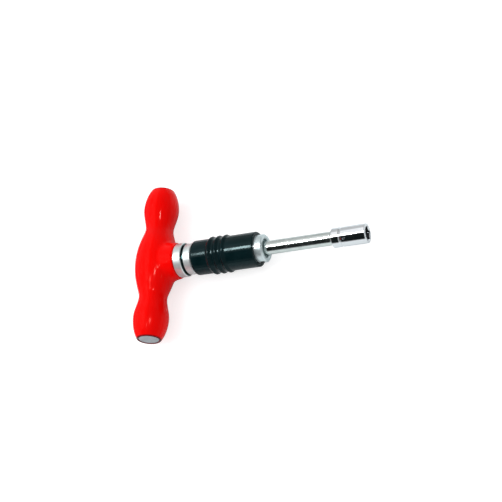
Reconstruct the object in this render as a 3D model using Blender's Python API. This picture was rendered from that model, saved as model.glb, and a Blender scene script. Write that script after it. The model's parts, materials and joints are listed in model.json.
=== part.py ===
"""T-handle torque wrench for hose and pipe clamps, as separate solids.

The tool lies on its side. Its shaft runs along +X from the handle to the socket, the
cross handle lies along Y, and the origin is on the floor under the middle of the tool.

Every size is in millimetres from the point where the handle's axis crosses the tool's
axis, and becomes metres when a mesh is made. TOOL_FRAME carries that point to its
place above the floor, so every piece that turns has its origin on the tool's axis.
"""

import math

import bmesh
import bpy
from mathutils import Matrix, Vector
from mathutils.geometry import interpolate_bezier

MM = 0.001
GAP = 0.3                      # clear space left between two pieces that touch
EDGE = 0.5                     # chamfer on turned edges
OVERCUT = 1.0                  # how far a cutter runs past the face that it opens

# Whole tool
SOCKET_MOUTH_X = 148.0         # handle axis to the front of the socket
SHAFT_R = 4.45

# Cross handle, turned about Y
BULGE_R = 14.1
NECK_R, NECK_Y = 9.35, 24.2
LOBE_R, LOBE_Y = 11.8, 38.9
HANDLE_END_R, HANDLE_END_Y, HANDLE_RIM_ROUND = 8.3, 53.7, 1.0
DISC_R, DISC_T, DISC_SUNK, DISC_EDGE = 6.8, 1.1, 0.4, 0.3
BOSS_FACE_X, BOSS_R, BOSS_EDGE = 17.4, 12.1, 0.6

# Ratchet: a barrel pressed into the handle holds a one-way roller clutch
BARREL_R, BARREL_BACK_X = 8.5, -6.0
BARREL_BORE_R, BARREL_BORE_END_X = 7.0, 14.6
RING_R = 11.2                  # the flange that shows beside the handle
RING_BACK_X, RING_FRONT_X = BOSS_FACE_X + GAP, 23.3
WASHER_SEAT_R, WASHER_SEAT_DEPTH = 7.6, 1.1
CUP_R, CUP_WALL, CUP_BACK_X, CUP_FRONT_X = 6.7, 0.5, -1.0, 13.0
ROLLER_COUNT, ROLLER_R, ROLLER_PITCH_R = 8, 0.8, 5.1
ROLLER_X0, ROLLER_X1 = 1.2, 10.8
CAGE_X0, CAGE_X1, CAGE_INNER_R, CAGE_OUTER_R = -0.1, 12.1, 4.5, 5.7
CUP_LIP_R = 4.9
SET_SCREW_R, SET_SCREW_X, SET_SCREW_DEG = 2.0, 9.0, 270.0
SET_SCREW_TIP_R, SET_SCREW_HEAD_R, SET_SCREW_DIMPLE = 8.2, 11.6, 0.6
HEX_KEY_ACROSS, HEX_KEY_FLOOR_R = 2.0, 10.0

# Clutch housing: spindle, neck and tube in one piece
SPINDLE_R, SPINDLE_BACK_X = 4.0, -4.5
CLIP_GROOVE_X0, CLIP_GROOVE_X1, CLIP_GROOVE_R = -3.3, -2.0, 3.2
CLIP_X0, CLIP_X1, CLIP_R, CLIP_HALF_MOUTH = -3.0, -2.3, 5.8, 1.3
SPINDLE_WASHER_X0, SPINDLE_WASHER_X1 = -1.9, -1.3
HOUSING_BACK_X = RING_FRONT_X + GAP
NECK_RING_R, NECK_RING_X0, NECK_RING_X1, NECK_GROOVE_R = 10.2, 24.6, 29.9, 9.2
HOUSING_R, HOUSING_BORE_R = 9.6, 7.5
HOUSING_FLOOR_X, HOUSING_FRONT_X = 34.0, 72.2
PILOT_R, PILOT_FLOOR_X = 3.0, 28.5
KEYWAY_X0 = 46.5

# Black sleeve over the housing
SLEEVE_R, SLEEVE_X0, SLEEVE_X1 = 11.4, NECK_RING_X1 + GAP, 74.8
SLEEVE_LIP_X = 73.1
SLEEVE_REAR_ROUND, SLEEVE_FRONT_ROUND = 1.4, 0.9
RIB_FIRST_X, RIB_PITCH, RIB_COUNT = 43.7, 4.9, 3
RIB_HALF_WIDTH, RIB_HEIGHT, RIB_STEPS = 2.1, 1.05, 5

# Torque-limiting clutch: face cams, spring and thrust bearing
CAM_OUTER_R, CAM_INNER_R = 7.2, 4.8
TOOTH_COUNT, TOOTH_HEIGHT, RAMP_STEPS = 6, 1.8, 6
RAMP_DEG, DROP_DEG, TOOTH_SLACK_DEG = 54.0, 0.6, 3.0
SLIP_CAM_BACK_X, TOOTH_ROOT_X, DRIVEN_CAM_BACK_X = 49.6, 52.6, 59.0
EAR_TIP_R, EAR_ROOT_R, EAR_HALF_WIDTH = 8.2, 6.4, 2.0
PIN_R, PIN_HALF_LENGTH, PIN_X = 1.0, 6.9, 56.9
SPRING_MEAN_R, SPRING_WIRE_R, SPRING_TURNS = 6.1, 0.9, 5
RACE_T, THRUST_BALL_R, BALL_PITCH_R, BALL_COUNT = 1.0, 1.1, 6.0, 8
BALL_CAGE_T, BALL_POCKET_R = 1.0, 1.15

# End nut and its bush
NUT_R, NUT_BACK_X, NUT_FLANGE_X, NUT_FACE_X = 9.0, 64.4, 72.5, 80.0
NUT_PLUG_R, NUT_BORE_R = 7.2, 6.1
BUSH_OUTER_R, BUSH_INNER_R, BUSH_X0, BUSH_X1 = 5.8, 4.75, 65.0, 78.6
SPANNER_HOLE_R, SPANNER_HOLE_X, SPANNER_HOLE_FLOOR_R = 1.5, 77.2, 6.9
SPANNER_HOLE_DEG = 190.0       # turned from +Y towards +Z

# Square drive, socket and detent
SQUARE_ACROSS = 6.35
SHOULDER_X, SQUARE_END_X = 125.2, 137.6
SOCKET_R, SOCKET_BACK_X = 6.25, 125.5
SOCKET_SQUARE_END_X, SOCKET_HEX_X = 138.2, 139.2
SOCKET_GROOVE_X, SOCKET_GROOVE_WIDTH, SOCKET_GROOVE_DEPTH = 131.3, 1.7, 0.45
SOCKET_GROOVE_SLOPE = 0.3
HEX_ACROSS, RELIEF_R = 8.1, 3.3
DETENT_X, DETENT_BALL_R, DETENT_HOLE_R, DETENT_BORE_R = 134.0, 1.2, 1.0, 1.5
DETENT_BALL_PROUD = 0.2        # how far the ball stands out of the square's flat
DETENT_FLOOR_R = -2.4          # bottom of its bore, past the middle of the square
DETENT_WIRE_R, DETENT_COIL_R, DETENT_TURNS = 0.18, 0.85, 3
DETENT_DEG = 127.0             # the flat that holds the ball, turned from +Y towards +Z

SEGMENTS = 32                  # facets round a large turned piece
SMALL_SEGMENTS = 20            # facets round a small one
TINY_SEGMENTS = 12             # facets round a pin or a needle roller
RACE_SEGMENTS = 24
CURVE_POINTS = 6               # points on each curve of the handle's outline
SHARP_DEG = 35.0


def clear_scene():
    for obj in list(bpy.data.objects):
        bpy.data.objects.remove(obj, do_unlink=True)


def make_material(name, colour, roughness, metallic):
    material = bpy.data.materials.new(name)
    material.use_nodes = True
    shader = material.node_tree.nodes["Principled BSDF"]
    shader.inputs["Base Color"].default_value = (*colour, 1.0)
    shader.inputs["Roughness"].default_value = roughness
    shader.inputs["Metallic"].default_value = metallic
    return material


clear_scene()

RED_ENAMEL = make_material("red_enamel", (0.72, 0.008, 0.004), 0.25, 0.0)
GREY_ALUMINIUM = make_material("grey_aluminium", (0.42, 0.44, 0.46), 0.4, 1.0)
PLATED_STEEL = make_material("plated_steel", (0.72, 0.74, 0.74), 0.22, 1.0)
BLACK_PLASTIC = make_material("black_plastic", (0.008, 0.011, 0.013), 0.18, 0.0)
CHROME = make_material("chrome", (0.80, 0.80, 0.82), 0.07, 1.0)
HARD_STEEL = make_material("hard_steel", (0.35, 0.35, 0.36), 0.3, 1.0)
SPRING_STEEL = make_material("spring_steel", (0.22, 0.22, 0.24), 0.35, 1.0)
BRONZE = make_material("bronze", (0.50, 0.33, 0.14), 0.4, 1.0)
CAGE_BRASS = make_material("cage_brass", (0.60, 0.45, 0.18), 0.4, 1.0)

TOOL_FRAME = bpy.data.objects.new("tool_frame", None)
bpy.context.scene.collection.objects.link(TOOL_FRAME)
TOOL_FRAME.location = (-(SOCKET_MOUTH_X - BULGE_R) / 2 * MM, 0.0, BULGE_R * MM)


# ---------------------------------------------------------------- shared tools

def add_piece(name, bm, material):
    """Close a bmesh given in millimetres into an object that hangs from TOOL_FRAME."""
    bmesh.ops.remove_doubles(bm, verts=bm.verts, dist=1e-4)
    bmesh.ops.recalc_face_normals(bm, faces=bm.faces)
    bmesh.ops.scale(bm, vec=(MM, MM, MM), verts=bm.verts)
    mesh = bpy.data.meshes.new(name)
    bm.to_mesh(mesh)
    bm.free()
    mesh.shade_smooth()
    mesh.set_sharp_from_angle(angle=math.radians(SHARP_DEG))
    mesh.materials.append(material)
    piece = bpy.data.objects.new(name, mesh)
    bpy.context.scene.collection.objects.link(piece)
    piece.parent = TOOL_FRAME
    return piece


def cut(piece, cutter_bm, operation="DIFFERENCE"):
    """Cut a shape from a piece, or join it on, with a live Boolean."""
    cutter = add_piece(f"{piece.name}_cutter_{len(piece.modifiers)}", cutter_bm, BLACK_PLASTIC)
    cutter.hide_render = True
    cutter.display_type = "WIRE"
    modifier = piece.modifiers.new(operation.lower(), "BOOLEAN")
    modifier.object = cutter
    modifier.operation = operation
    modifier.solver = "EXACT"


def turned(outline, segments=SEGMENTS, axis="X"):
    """Spin an outline of (along, radius) points about the X or the Y axis.

    An outline that starts and ends on the axis makes a solid; any other is closed into a ring.
    """
    bm = bmesh.new()
    if axis == "X":
        verts = [bm.verts.new((along, 0.0, radius)) for along, radius in outline]
        spin_axis = (1.0, 0.0, 0.0)
    else:
        verts = [bm.verts.new((0.0, along, radius)) for along, radius in outline]
        spin_axis = (0.0, 1.0, 0.0)
    following = verts[1:]
    if outline[0][1] > 0.0:
        following = following + verts[:1]
    edges = [bm.edges.new(pair) for pair in zip(verts, following)]
    bmesh.ops.spin(bm, geom=verts + edges, cent=(0, 0, 0), axis=spin_axis,
                   angle=2 * math.pi, steps=segments, use_merge=True)
    return bm


def ring(x0, x1, inner_r, outer_r, segments=SEGMENTS):
    return turned([(x0, inner_r), (x0, outer_r), (x1, outer_r), (x1, inner_r)], segments)


def rod(x0, x1, radius, segments=SEGMENTS):
    return turned([(x0, 0.0), (x0, radius), (x1, radius), (x1, 0.0)], segments)


def arc(centre, radius, start_deg, end_deg, steps):
    """Points of an arc in an outline, angles counted from +along towards +radius."""
    points = []
    for step in range(steps + 1):
        angle = math.radians(start_deg + (end_deg - start_deg) * step / steps)
        points.append((centre[0] + radius * math.cos(angle), centre[1] + radius * math.sin(angle)))
    return points


def prism(sides, across_flats, x0, x1, turn_deg=0.0):
    """A bar along X with flat sides, one of them facing turn_deg from +Y towards +Z."""
    bm = bmesh.new()
    corner_r = across_flats / 2 / math.cos(math.pi / sides)
    corners = []
    for side in range(sides):
        angle = math.radians(turn_deg) + (side + 0.5) * 2 * math.pi / sides
        corners.append(bm.verts.new((x0, corner_r * math.cos(angle), corner_r * math.sin(angle))))
    face = bm.faces.new(corners)
    made = bmesh.ops.extrude_face_region(bm, geom=[face])
    moved = [item for item in made["geom"] if isinstance(item, bmesh.types.BMVert)]
    bmesh.ops.translate(bm, vec=(x1 - x0, 0.0, 0.0), verts=moved)
    return bm


def box(low, high):
    bm = bmesh.new()
    bmesh.ops.create_cube(bm, size=1.0)
    bmesh.ops.scale(bm, vec=[b - a for a, b in zip(low, high)], verts=bm.verts)
    bmesh.ops.translate(bm, vec=[(a + b) / 2 for a, b in zip(low, high)], verts=bm.verts)
    return bm


def stand_on_axis(bm, x, turn_deg):
    """Turn a shape made along X to stand on the tool's axis, pointing turn_deg from +Y to +Z."""
    quarter = Matrix.Rotation(math.pi / 2, 4, "Z")
    aim = Matrix.Rotation(math.radians(turn_deg), 4, "X")
    bmesh.ops.transform(bm, matrix=Matrix.Translation((x, 0, 0)) @ aim @ quarter, verts=bm.verts)


def radial_rod(x, turn_deg, inner_r, outer_r, radius, segments=SMALL_SEGMENTS):
    bm = rod(inner_r, outer_r, radius, segments)
    stand_on_axis(bm, x, turn_deg)
    return bm


def ball(centre, radius):
    bm = bmesh.new()
    bmesh.ops.create_icosphere(bm, subdivisions=2, radius=radius)
    bmesh.ops.translate(bm, vec=centre, verts=bm.verts)
    return bm


def around(turn_deg, radius, x):
    angle = math.radians(turn_deg)
    return Vector((x, radius * math.cos(angle), radius * math.sin(angle)))


def skin(bm, loops):
    """Join closed loops of corners with faces, and cap the first and the last loop."""
    for loop, following in zip(loops, loops[1:]):
        for side in range(len(loop)):
            after = (side + 1) % len(loop)
            bm.faces.new((loop[side], loop[after], following[after], following[side]))
    bm.faces.new(loops[0])
    bm.faces.new(loops[-1])


def coil(start, turns, mean_r, wire_r, length, steps_per_turn=14, wire_sides=6):
    """A round wire wound about +X from start, as one closed tube."""
    bm = bmesh.new()
    loops = []
    for step in range(turns * steps_per_turn + 1):
        angle = 2 * math.pi * step / steps_per_turn
        outwards = Vector((0.0, math.cos(angle), math.sin(angle)))
        centre = Vector((length * step / (turns * steps_per_turn), 0, 0)) + outwards * mean_r
        loop = []
        for side in range(wire_sides):
            turn = 2 * math.pi * side / wire_sides
            offset = outwards * math.cos(turn) + Vector((1, 0, 0)) * math.sin(turn)
            loop.append(bm.verts.new(start + centre + offset * wire_r))
        loops.append(loop)
    skin(bm, loops)
    return bm


# ---------------------------------------------------------------- cross handle

def handle_half_outline():
    """(along, radius) points from the middle bulge to the flat end, on smooth curves."""
    rim_y = HANDLE_END_Y - HANDLE_RIM_ROUND
    curves = [
        ((0.0, BULGE_R), (13.0, BULGE_R), (20.5, NECK_R), (NECK_Y, NECK_R)),
        ((NECK_Y, NECK_R), (29.0, NECK_R), (34.0, LOBE_R), (LOBE_Y, LOBE_R)),
        ((LOBE_Y, LOBE_R), (45.0, LOBE_R), (50.6, 9.8), (rim_y, HANDLE_END_R)),
    ]
    points = [(0.0, BULGE_R)]
    for knot_a, handle_a, handle_b, knot_b in curves:
        bend = [Vector((*point, 0.0)) for point in (knot_a, handle_a, handle_b, knot_b)]
        points += [(p.x, p.y) for p in interpolate_bezier(*bend, CURVE_POINTS)[1:]]
    rim_centre = (rim_y, HANDLE_END_R - HANDLE_RIM_ROUND)
    return points + arc(rim_centre, HANDLE_RIM_ROUND, 90.0, 0.0, 3)[1:]


def boss_loft():
    """The round boss on the handle, flared along the handle into a rounded junction."""
    stations = [(2.0, 19.0, 11.9), (5.0, 17.2, 12.0), (8.0, 15.1, BOSS_R), (11.0, 13.5, BOSS_R),
                (14.0, 12.6, BOSS_R), (BOSS_FACE_X - BOSS_EDGE, BOSS_R, BOSS_R),
                (BOSS_FACE_X, BOSS_R - BOSS_EDGE, BOSS_R - BOSS_EDGE)]
    bm = bmesh.new()
    loops = []
    for x, half_y, half_z in stations:
        loop = []
        for side in range(SEGMENTS):
            angle = 2 * math.pi * side / SEGMENTS
            loop.append(bm.verts.new((x, half_y * math.cos(angle), half_z * math.sin(angle))))
        loops.append(loop)
    skin(bm, loops)
    return bm


def make_handle():
    half = handle_half_outline()
    recess_floor_y = HANDLE_END_Y - DISC_SUNK - DISC_T - GAP
    recess_r = DISC_R + GAP
    end = [(HANDLE_END_Y, recess_r), (recess_floor_y, recess_r), (recess_floor_y, 0.0)]
    right = half + end
    left = [(-along, radius) for along, radius in reversed(right)]
    handle = add_piece("handle", turned(left[:-1] + right, axis="Y"), RED_ENAMEL)
    cut(handle, boss_loft(), "UNION")
    cut(handle, rod(BARREL_BACK_X - 2 * GAP, BOSS_FACE_X + OVERCUT, BARREL_R + GAP))
    screw_hole = radial_rod(SET_SCREW_X, SET_SCREW_DEG, BARREL_R - OVERCUT, BULGE_R + OVERCUT,
                            SET_SCREW_R + GAP)
    cut(handle, screw_hole)


def make_end_disc(name, side):
    outer_y = side * (HANDLE_END_Y - DISC_SUNK)
    inner_y = side * (HANDLE_END_Y - DISC_SUNK - DISC_T)
    rim_y = outer_y - side * DISC_EDGE
    outline = [(inner_y, 0.0), (inner_y, DISC_R), (rim_y, DISC_R), (outer_y, DISC_R - DISC_EDGE),
               (outer_y, 0.0)]
    add_piece(name, turned(outline, axis="Y"), GREY_ALUMINIUM)


def make_set_screw():
    shank = radial_rod(SET_SCREW_X, SET_SCREW_DEG, SET_SCREW_TIP_R, SET_SCREW_HEAD_R, SET_SCREW_R)
    screw = add_piece("handle_set_screw", shank, HARD_STEEL)
    key_hole = prism(6, HEX_KEY_ACROSS, HEX_KEY_FLOOR_R, SET_SCREW_HEAD_R + OVERCUT)
    stand_on_axis(key_hole, SET_SCREW_X, SET_SCREW_DEG)
    cut(screw, key_hole)


# ---------------------------------------------------------------- ratchet

def make_ratchet_barrel():
    seat_x = RING_FRONT_X - WASHER_SEAT_DEPTH
    spindle_bore_r = SPINDLE_R + GAP
    outline = [
        (BARREL_BACK_X, BARREL_BORE_R), (BARREL_BACK_X, BARREL_R), (RING_BACK_X, BARREL_R),
        (RING_BACK_X, RING_R - EDGE), (RING_BACK_X + EDGE, RING_R), (RING_FRONT_X - EDGE, RING_R),
        (RING_FRONT_X, RING_R - EDGE), (RING_FRONT_X, WASHER_SEAT_R), (seat_x, WASHER_SEAT_R),
        (seat_x, spindle_bore_r), (BARREL_BORE_END_X, spindle_bore_r),
        (BARREL_BORE_END_X, BARREL_BORE_R),
    ]
    barrel = add_piece("ratchet_barrel", turned(outline), PLATED_STEEL)
    dimple = radial_rod(SET_SCREW_X, SET_SCREW_DEG, BARREL_R - SET_SCREW_DIMPLE, BARREL_R + OVERCUT,
                        SET_SCREW_R + GAP)
    cut(barrel, dimple)


def make_roller_clutch():
    wall_r = CUP_R - CUP_WALL
    cup = [(CUP_BACK_X, CUP_LIP_R), (CUP_BACK_X, CUP_R), (CUP_FRONT_X, CUP_R),
           (CUP_FRONT_X, CUP_LIP_R), (CUP_FRONT_X - CUP_WALL, CUP_LIP_R),
           (CUP_FRONT_X - CUP_WALL, wall_r), (CUP_BACK_X + CUP_WALL, wall_r),
           (CUP_BACK_X + CUP_WALL, CUP_LIP_R)]
    add_piece("clutch_cup", turned(cup), HARD_STEEL)

    cage = add_piece("roller_cage", ring(CAGE_X0, CAGE_X1, CAGE_INNER_R, CAGE_OUTER_R), CAGE_BRASS)
    half_pocket = ROLLER_R + GAP
    for index in range(ROLLER_COUNT):
        turn_deg = 360.0 * index / ROLLER_COUNT
        pocket = box((ROLLER_X0 - GAP, SPINDLE_R, -half_pocket),
                     (ROLLER_X1 + GAP, CAGE_OUTER_R + EDGE, half_pocket))
        bmesh.ops.rotate(pocket, matrix=Matrix.Rotation(math.radians(turn_deg), 3, "X"),
                         verts=pocket.verts)
        cut(cage, pocket)
        roller = rod(ROLLER_X0, ROLLER_X1, ROLLER_R, TINY_SEGMENTS)
        bmesh.ops.translate(roller, vec=around(turn_deg, ROLLER_PITCH_R, 0.0), verts=roller.verts)
        add_piece(f"needle_roller_{index + 1}", roller, HARD_STEEL)


def make_spindle_washers():
    bore_r = SPINDLE_R + GAP
    seat_x = RING_FRONT_X - WASHER_SEAT_DEPTH
    thrust_washer = ring(seat_x + GAP, RING_FRONT_X, bore_r, WASHER_SEAT_R - GAP, SMALL_SEGMENTS)
    add_piece("thrust_washer", thrust_washer, BRONZE)
    spindle_washer = ring(SPINDLE_WASHER_X0, SPINDLE_WASHER_X1, bore_r, BARREL_BORE_R - GAP,
                          SMALL_SEGMENTS)
    add_piece("spindle_washer", spindle_washer, HARD_STEEL)
    clip = ring(CLIP_X0, CLIP_X1, CLIP_GROOVE_R + GAP, CLIP_R, SMALL_SEGMENTS)
    circlip = add_piece("spindle_circlip", clip, SPRING_STEEL)
    cut(circlip, box((CLIP_X0 - OVERCUT, 0.0, -CLIP_HALF_MOUTH),
                     (CLIP_X1 + OVERCUT, CLIP_R + OVERCUT, CLIP_HALF_MOUTH)))


# ---------------------------------------------------------------- clutch housing

def make_clutch_housing():
    outline = [
        (SPINDLE_BACK_X, 0.0), (SPINDLE_BACK_X, SPINDLE_R - EDGE), (SPINDLE_BACK_X + EDGE, SPINDLE_R),
        (CLIP_GROOVE_X0, SPINDLE_R), (CLIP_GROOVE_X0, CLIP_GROOVE_R), (CLIP_GROOVE_X1, CLIP_GROOVE_R),
        (CLIP_GROOVE_X1, SPINDLE_R), (HOUSING_BACK_X, SPINDLE_R), (HOUSING_BACK_X, NECK_GROOVE_R),
        (NECK_RING_X0, NECK_GROOVE_R), (NECK_RING_X0, NECK_RING_R - EDGE),
        (NECK_RING_X0 + EDGE, NECK_RING_R), (NECK_RING_X1 - EDGE, NECK_RING_R),
        (NECK_RING_X1, NECK_RING_R - EDGE), (NECK_RING_X1, HOUSING_R), (HOUSING_FRONT_X, HOUSING_R),
        (HOUSING_FRONT_X, HOUSING_BORE_R), (HOUSING_FLOOR_X, HOUSING_BORE_R),
        (HOUSING_FLOOR_X, PILOT_R + GAP), (PILOT_FLOOR_X, PILOT_R + GAP), (PILOT_FLOOR_X, 0.0),
    ]
    housing = add_piece("clutch_housing", turned(outline), PLATED_STEEL)
    reach, half_width = EAR_TIP_R + GAP, EAR_HALF_WIDTH + GAP
    keyways = box((KEYWAY_X0, -reach, -half_width), (HOUSING_FRONT_X + OVERCUT, reach, half_width))
    cut(housing, keyways)


def make_grip_sleeve():
    bore_r, lip_r = HOUSING_R + GAP, NUT_R + GAP
    rear_centre = (SLEEVE_X0 + SLEEVE_REAR_ROUND, SLEEVE_R - SLEEVE_REAR_ROUND)
    front_centre = (SLEEVE_X1 - SLEEVE_FRONT_ROUND, SLEEVE_R - SLEEVE_FRONT_ROUND)
    outer = arc(rear_centre, SLEEVE_REAR_ROUND, 180.0, 90.0, 4)
    for index in range(RIB_COUNT):
        centre_x = RIB_FIRST_X + index * RIB_PITCH
        for step in range(RIB_STEPS + 1):
            angle = math.pi * (1 - step / RIB_STEPS)
            outer.append((centre_x + RIB_HALF_WIDTH * math.cos(angle),
                          SLEEVE_R + RIB_HEIGHT * math.sin(angle)))
    outer += arc(front_centre, SLEEVE_FRONT_ROUND, 90.0, 0.0, 3)
    inner = [(SLEEVE_X1, lip_r), (SLEEVE_LIP_X, lip_r), (SLEEVE_LIP_X, bore_r), (SLEEVE_X0, bore_r)]
    add_piece("grip_sleeve", turned(outer + inner), BLACK_PLASTIC)


def make_end_nut():
    outline = [
        (NUT_BACK_X, NUT_BORE_R), (NUT_BACK_X, NUT_PLUG_R), (NUT_FLANGE_X, NUT_PLUG_R),
        (NUT_FLANGE_X, NUT_R), (NUT_FACE_X - EDGE, NUT_R), (NUT_FACE_X, NUT_R - EDGE),
        (NUT_FACE_X, NUT_BORE_R + EDGE), (NUT_FACE_X - EDGE, NUT_BORE_R),
    ]
    nut = add_piece("end_nut", turned(outline), PLATED_STEEL)
    spanner_hole = radial_rod(SPANNER_HOLE_X, SPANNER_HOLE_DEG, SPANNER_HOLE_FLOOR_R, NUT_R + OVERCUT,
                              SPANNER_HOLE_R)
    cut(nut, spanner_hole)
    bush = ring(BUSH_X0, BUSH_X1, BUSH_INNER_R, BUSH_OUTER_R, SMALL_SEGMENTS)
    add_piece("front_bush", bush, HARD_STEEL)


# ---------------------------------------------------------------- torque-limiting clutch

def tooth_outline(slack_deg):
    """One tooth as (degrees, height): a long ramp, then a steep drop slack_deg after it."""
    points = [(RAMP_DEG * step / RAMP_STEPS, TOOTH_HEIGHT * step / RAMP_STEPS)
              for step in range(RAMP_STEPS + 1)]
    if slack_deg:
        points.append((RAMP_DEG + slack_deg, TOOTH_HEIGHT))
    points.append((RAMP_DEG + slack_deg + DROP_DEG, 0.0))
    return points


def face_cam(back_x, root_x, slack_deg):
    """A ring with ramped teeth on the end at root_x. The ramps climb against +X's turn."""
    bm = bmesh.new()
    stations = []
    for tooth in range(TOOTH_COUNT):
        for degrees, height in tooth_outline(slack_deg):
            angle = -math.radians(360.0 * tooth / TOOTH_COUNT + degrees)
            across = Vector((0.0, math.cos(angle), math.sin(angle)))
            face = Vector((root_x + height, 0, 0))
            back = Vector((back_x, 0, 0))
            stations.append([bm.verts.new(end + across * radius)
                             for end, radius in ((back, CAM_INNER_R), (back, CAM_OUTER_R),
                                                 (face, CAM_OUTER_R), (face, CAM_INNER_R))])
    for here, there in zip(stations, stations[1:] + stations[:1]):
        for corner in range(4):
            after = (corner + 1) % 4
            bm.faces.new((here[corner], here[after], there[after], there[corner]))
    return bm


def make_slip_cam():
    slip_cam = add_piece("slip_cam", face_cam(SLIP_CAM_BACK_X, TOOTH_ROOT_X, 0.0), HARD_STEEL)
    for side in (1, -1):
        low_y, high_y = sorted((side * EAR_ROOT_R, side * EAR_TIP_R))
        ear = box((SLIP_CAM_BACK_X + EDGE, low_y, -EAR_HALF_WIDTH),
                  (TOOTH_ROOT_X - EDGE, high_y, EAR_HALF_WIDTH))
        cut(slip_cam, ear, "UNION")


def pin_hole():
    reach = CAM_OUTER_R + OVERCUT
    return radial_rod(PIN_X, 0.0, -reach, reach, PIN_R + GAP, TINY_SEGMENTS)


def make_driven_cam():
    cam = add_piece("driven_cam", face_cam(DRIVEN_CAM_BACK_X, TOOTH_ROOT_X + GAP, TOOTH_SLACK_DEG),
                    HARD_STEEL)
    cut(cam, pin_hole())
    pin = radial_rod(PIN_X, 0.0, -PIN_HALF_LENGTH, PIN_HALF_LENGTH, PIN_R, TINY_SEGMENTS)
    add_piece("cam_pin", pin, HARD_STEEL)


def make_clutch_spring():
    first_x = HOUSING_FLOOR_X + GAP + SPRING_WIRE_R
    last_x = SLIP_CAM_BACK_X - GAP - SPRING_WIRE_R
    wire = coil(Vector((first_x, 0, 0)), SPRING_TURNS, SPRING_MEAN_R, SPRING_WIRE_R, last_x - first_x)
    add_piece("clutch_spring", wire, SPRING_STEEL)


def make_thrust_bearing():
    rear_x = DRIVEN_CAM_BACK_X + GAP
    ball_x = rear_x + RACE_T + GAP + THRUST_BALL_R
    front_x = ball_x + THRUST_BALL_R + GAP
    for name, x in (("thrust_race_rear", rear_x), ("thrust_race_front", front_x)):
        race = ring(x, x + RACE_T, CAM_INNER_R, CAM_OUTER_R, RACE_SEGMENTS)
        add_piece(name, race, HARD_STEEL)
    cage_x0, cage_x1 = ball_x - BALL_CAGE_T / 2, ball_x + BALL_CAGE_T / 2
    cage = add_piece("ball_cage", ring(cage_x0, cage_x1, CAM_INNER_R, CAM_OUTER_R, RACE_SEGMENTS),
                     CAGE_BRASS)
    for index in range(BALL_COUNT):
        turn_deg = 360.0 * (index + 0.5) / BALL_COUNT
        pocket = rod(cage_x0 - OVERCUT, cage_x1 + OVERCUT, BALL_POCKET_R, TINY_SEGMENTS)
        bmesh.ops.translate(pocket, vec=around(turn_deg, BALL_PITCH_R, 0.0), verts=pocket.verts)
        cut(cage, pocket)
        thrust_ball = ball(around(turn_deg, BALL_PITCH_R, ball_x), THRUST_BALL_R)
        add_piece(f"thrust_ball_{index + 1}", thrust_ball, HARD_STEEL)


# ---------------------------------------------------------------- shaft and socket

def make_output_shaft():
    pilot_x0, pilot_x1 = PILOT_FLOOR_X + 2 * GAP, HOUSING_FLOOR_X + 2 * GAP
    outline = [
        (pilot_x0, 0.0), (pilot_x0, PILOT_R - EDGE), (pilot_x0 + EDGE, PILOT_R), (pilot_x1, PILOT_R),
        (pilot_x1, SHAFT_R), (SHOULDER_X - EDGE, SHAFT_R), (SHOULDER_X, SHAFT_R - EDGE),
        (SHOULDER_X, 0.0),
    ]
    shaft = add_piece("output_shaft", turned(outline), PLATED_STEEL)
    square = prism(4, SQUARE_ACROSS, SHOULDER_X - OVERCUT, SQUARE_END_X, DETENT_DEG)
    end_edges = [edge for edge in square.edges if all(v.co.x > SHOULDER_X for v in edge.verts)]
    bmesh.ops.bevel(square, geom=end_edges, offset=EDGE, offset_type="OFFSET", affect="EDGES",
                    segments=1, profile=0.5, material=-1)
    cut(shaft, square, "UNION")
    cut(shaft, pin_hole())
    ball_bore = radial_rod(DETENT_X, DETENT_DEG, DETENT_FLOOR_R, SQUARE_ACROSS, DETENT_BORE_R,
                           TINY_SEGMENTS)
    cut(shaft, ball_bore)


def make_detent():
    ball_r = SQUARE_ACROSS / 2 + DETENT_BALL_PROUD - DETENT_BALL_R
    add_piece("detent_ball", ball(around(DETENT_DEG, ball_r, DETENT_X), DETENT_BALL_R), CHROME)
    foot_r = DETENT_FLOOR_R + GAP + DETENT_WIRE_R
    top_r = ball_r - DETENT_BALL_R - GAP / 2 - DETENT_WIRE_R
    spring = coil(Vector((foot_r, 0, 0)), DETENT_TURNS, DETENT_COIL_R, DETENT_WIRE_R, top_r - foot_r,
                  steps_per_turn=9, wire_sides=5)
    stand_on_axis(spring, DETENT_X, DETENT_DEG)
    add_piece("detent_spring", spring, SPRING_STEEL)


def make_socket():
    groove_x0 = SOCKET_GROOVE_X - SOCKET_GROOVE_WIDTH / 2
    groove_x1 = SOCKET_GROOVE_X + SOCKET_GROOVE_WIDTH / 2
    groove_r = SOCKET_R - SOCKET_GROOVE_DEPTH
    outline = [
        (SOCKET_BACK_X, 0.0), (SOCKET_BACK_X, SOCKET_R - EDGE), (SOCKET_BACK_X + EDGE, SOCKET_R),
        (groove_x0, SOCKET_R), (groove_x0 + SOCKET_GROOVE_SLOPE, groove_r),
        (groove_x1 - SOCKET_GROOVE_SLOPE, groove_r), (groove_x1, SOCKET_R),
        (SOCKET_MOUTH_X - EDGE, SOCKET_R), (SOCKET_MOUTH_X, SOCKET_R - EDGE), (SOCKET_MOUTH_X, 0.0),
    ]
    socket = add_piece("socket", turned(outline), CHROME)
    square_hole = prism(4, SQUARE_ACROSS + 2 * GAP, SOCKET_BACK_X - OVERCUT, SOCKET_SQUARE_END_X,
                        DETENT_DEG)
    cut(socket, square_hole)
    relief = rod(SOCKET_SQUARE_END_X - OVERCUT, SOCKET_HEX_X + OVERCUT, RELIEF_R, SMALL_SEGMENTS)
    cut(socket, relief)
    cut(socket, prism(6, HEX_ACROSS, SOCKET_HEX_X, SOCKET_MOUTH_X + OVERCUT, DETENT_DEG))
    ball_hole = radial_rod(DETENT_X, DETENT_DEG, DETENT_BALL_R, SOCKET_R + OVERCUT, DETENT_HOLE_R,
                           TINY_SEGMENTS)
    cut(socket, ball_hole)


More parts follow.
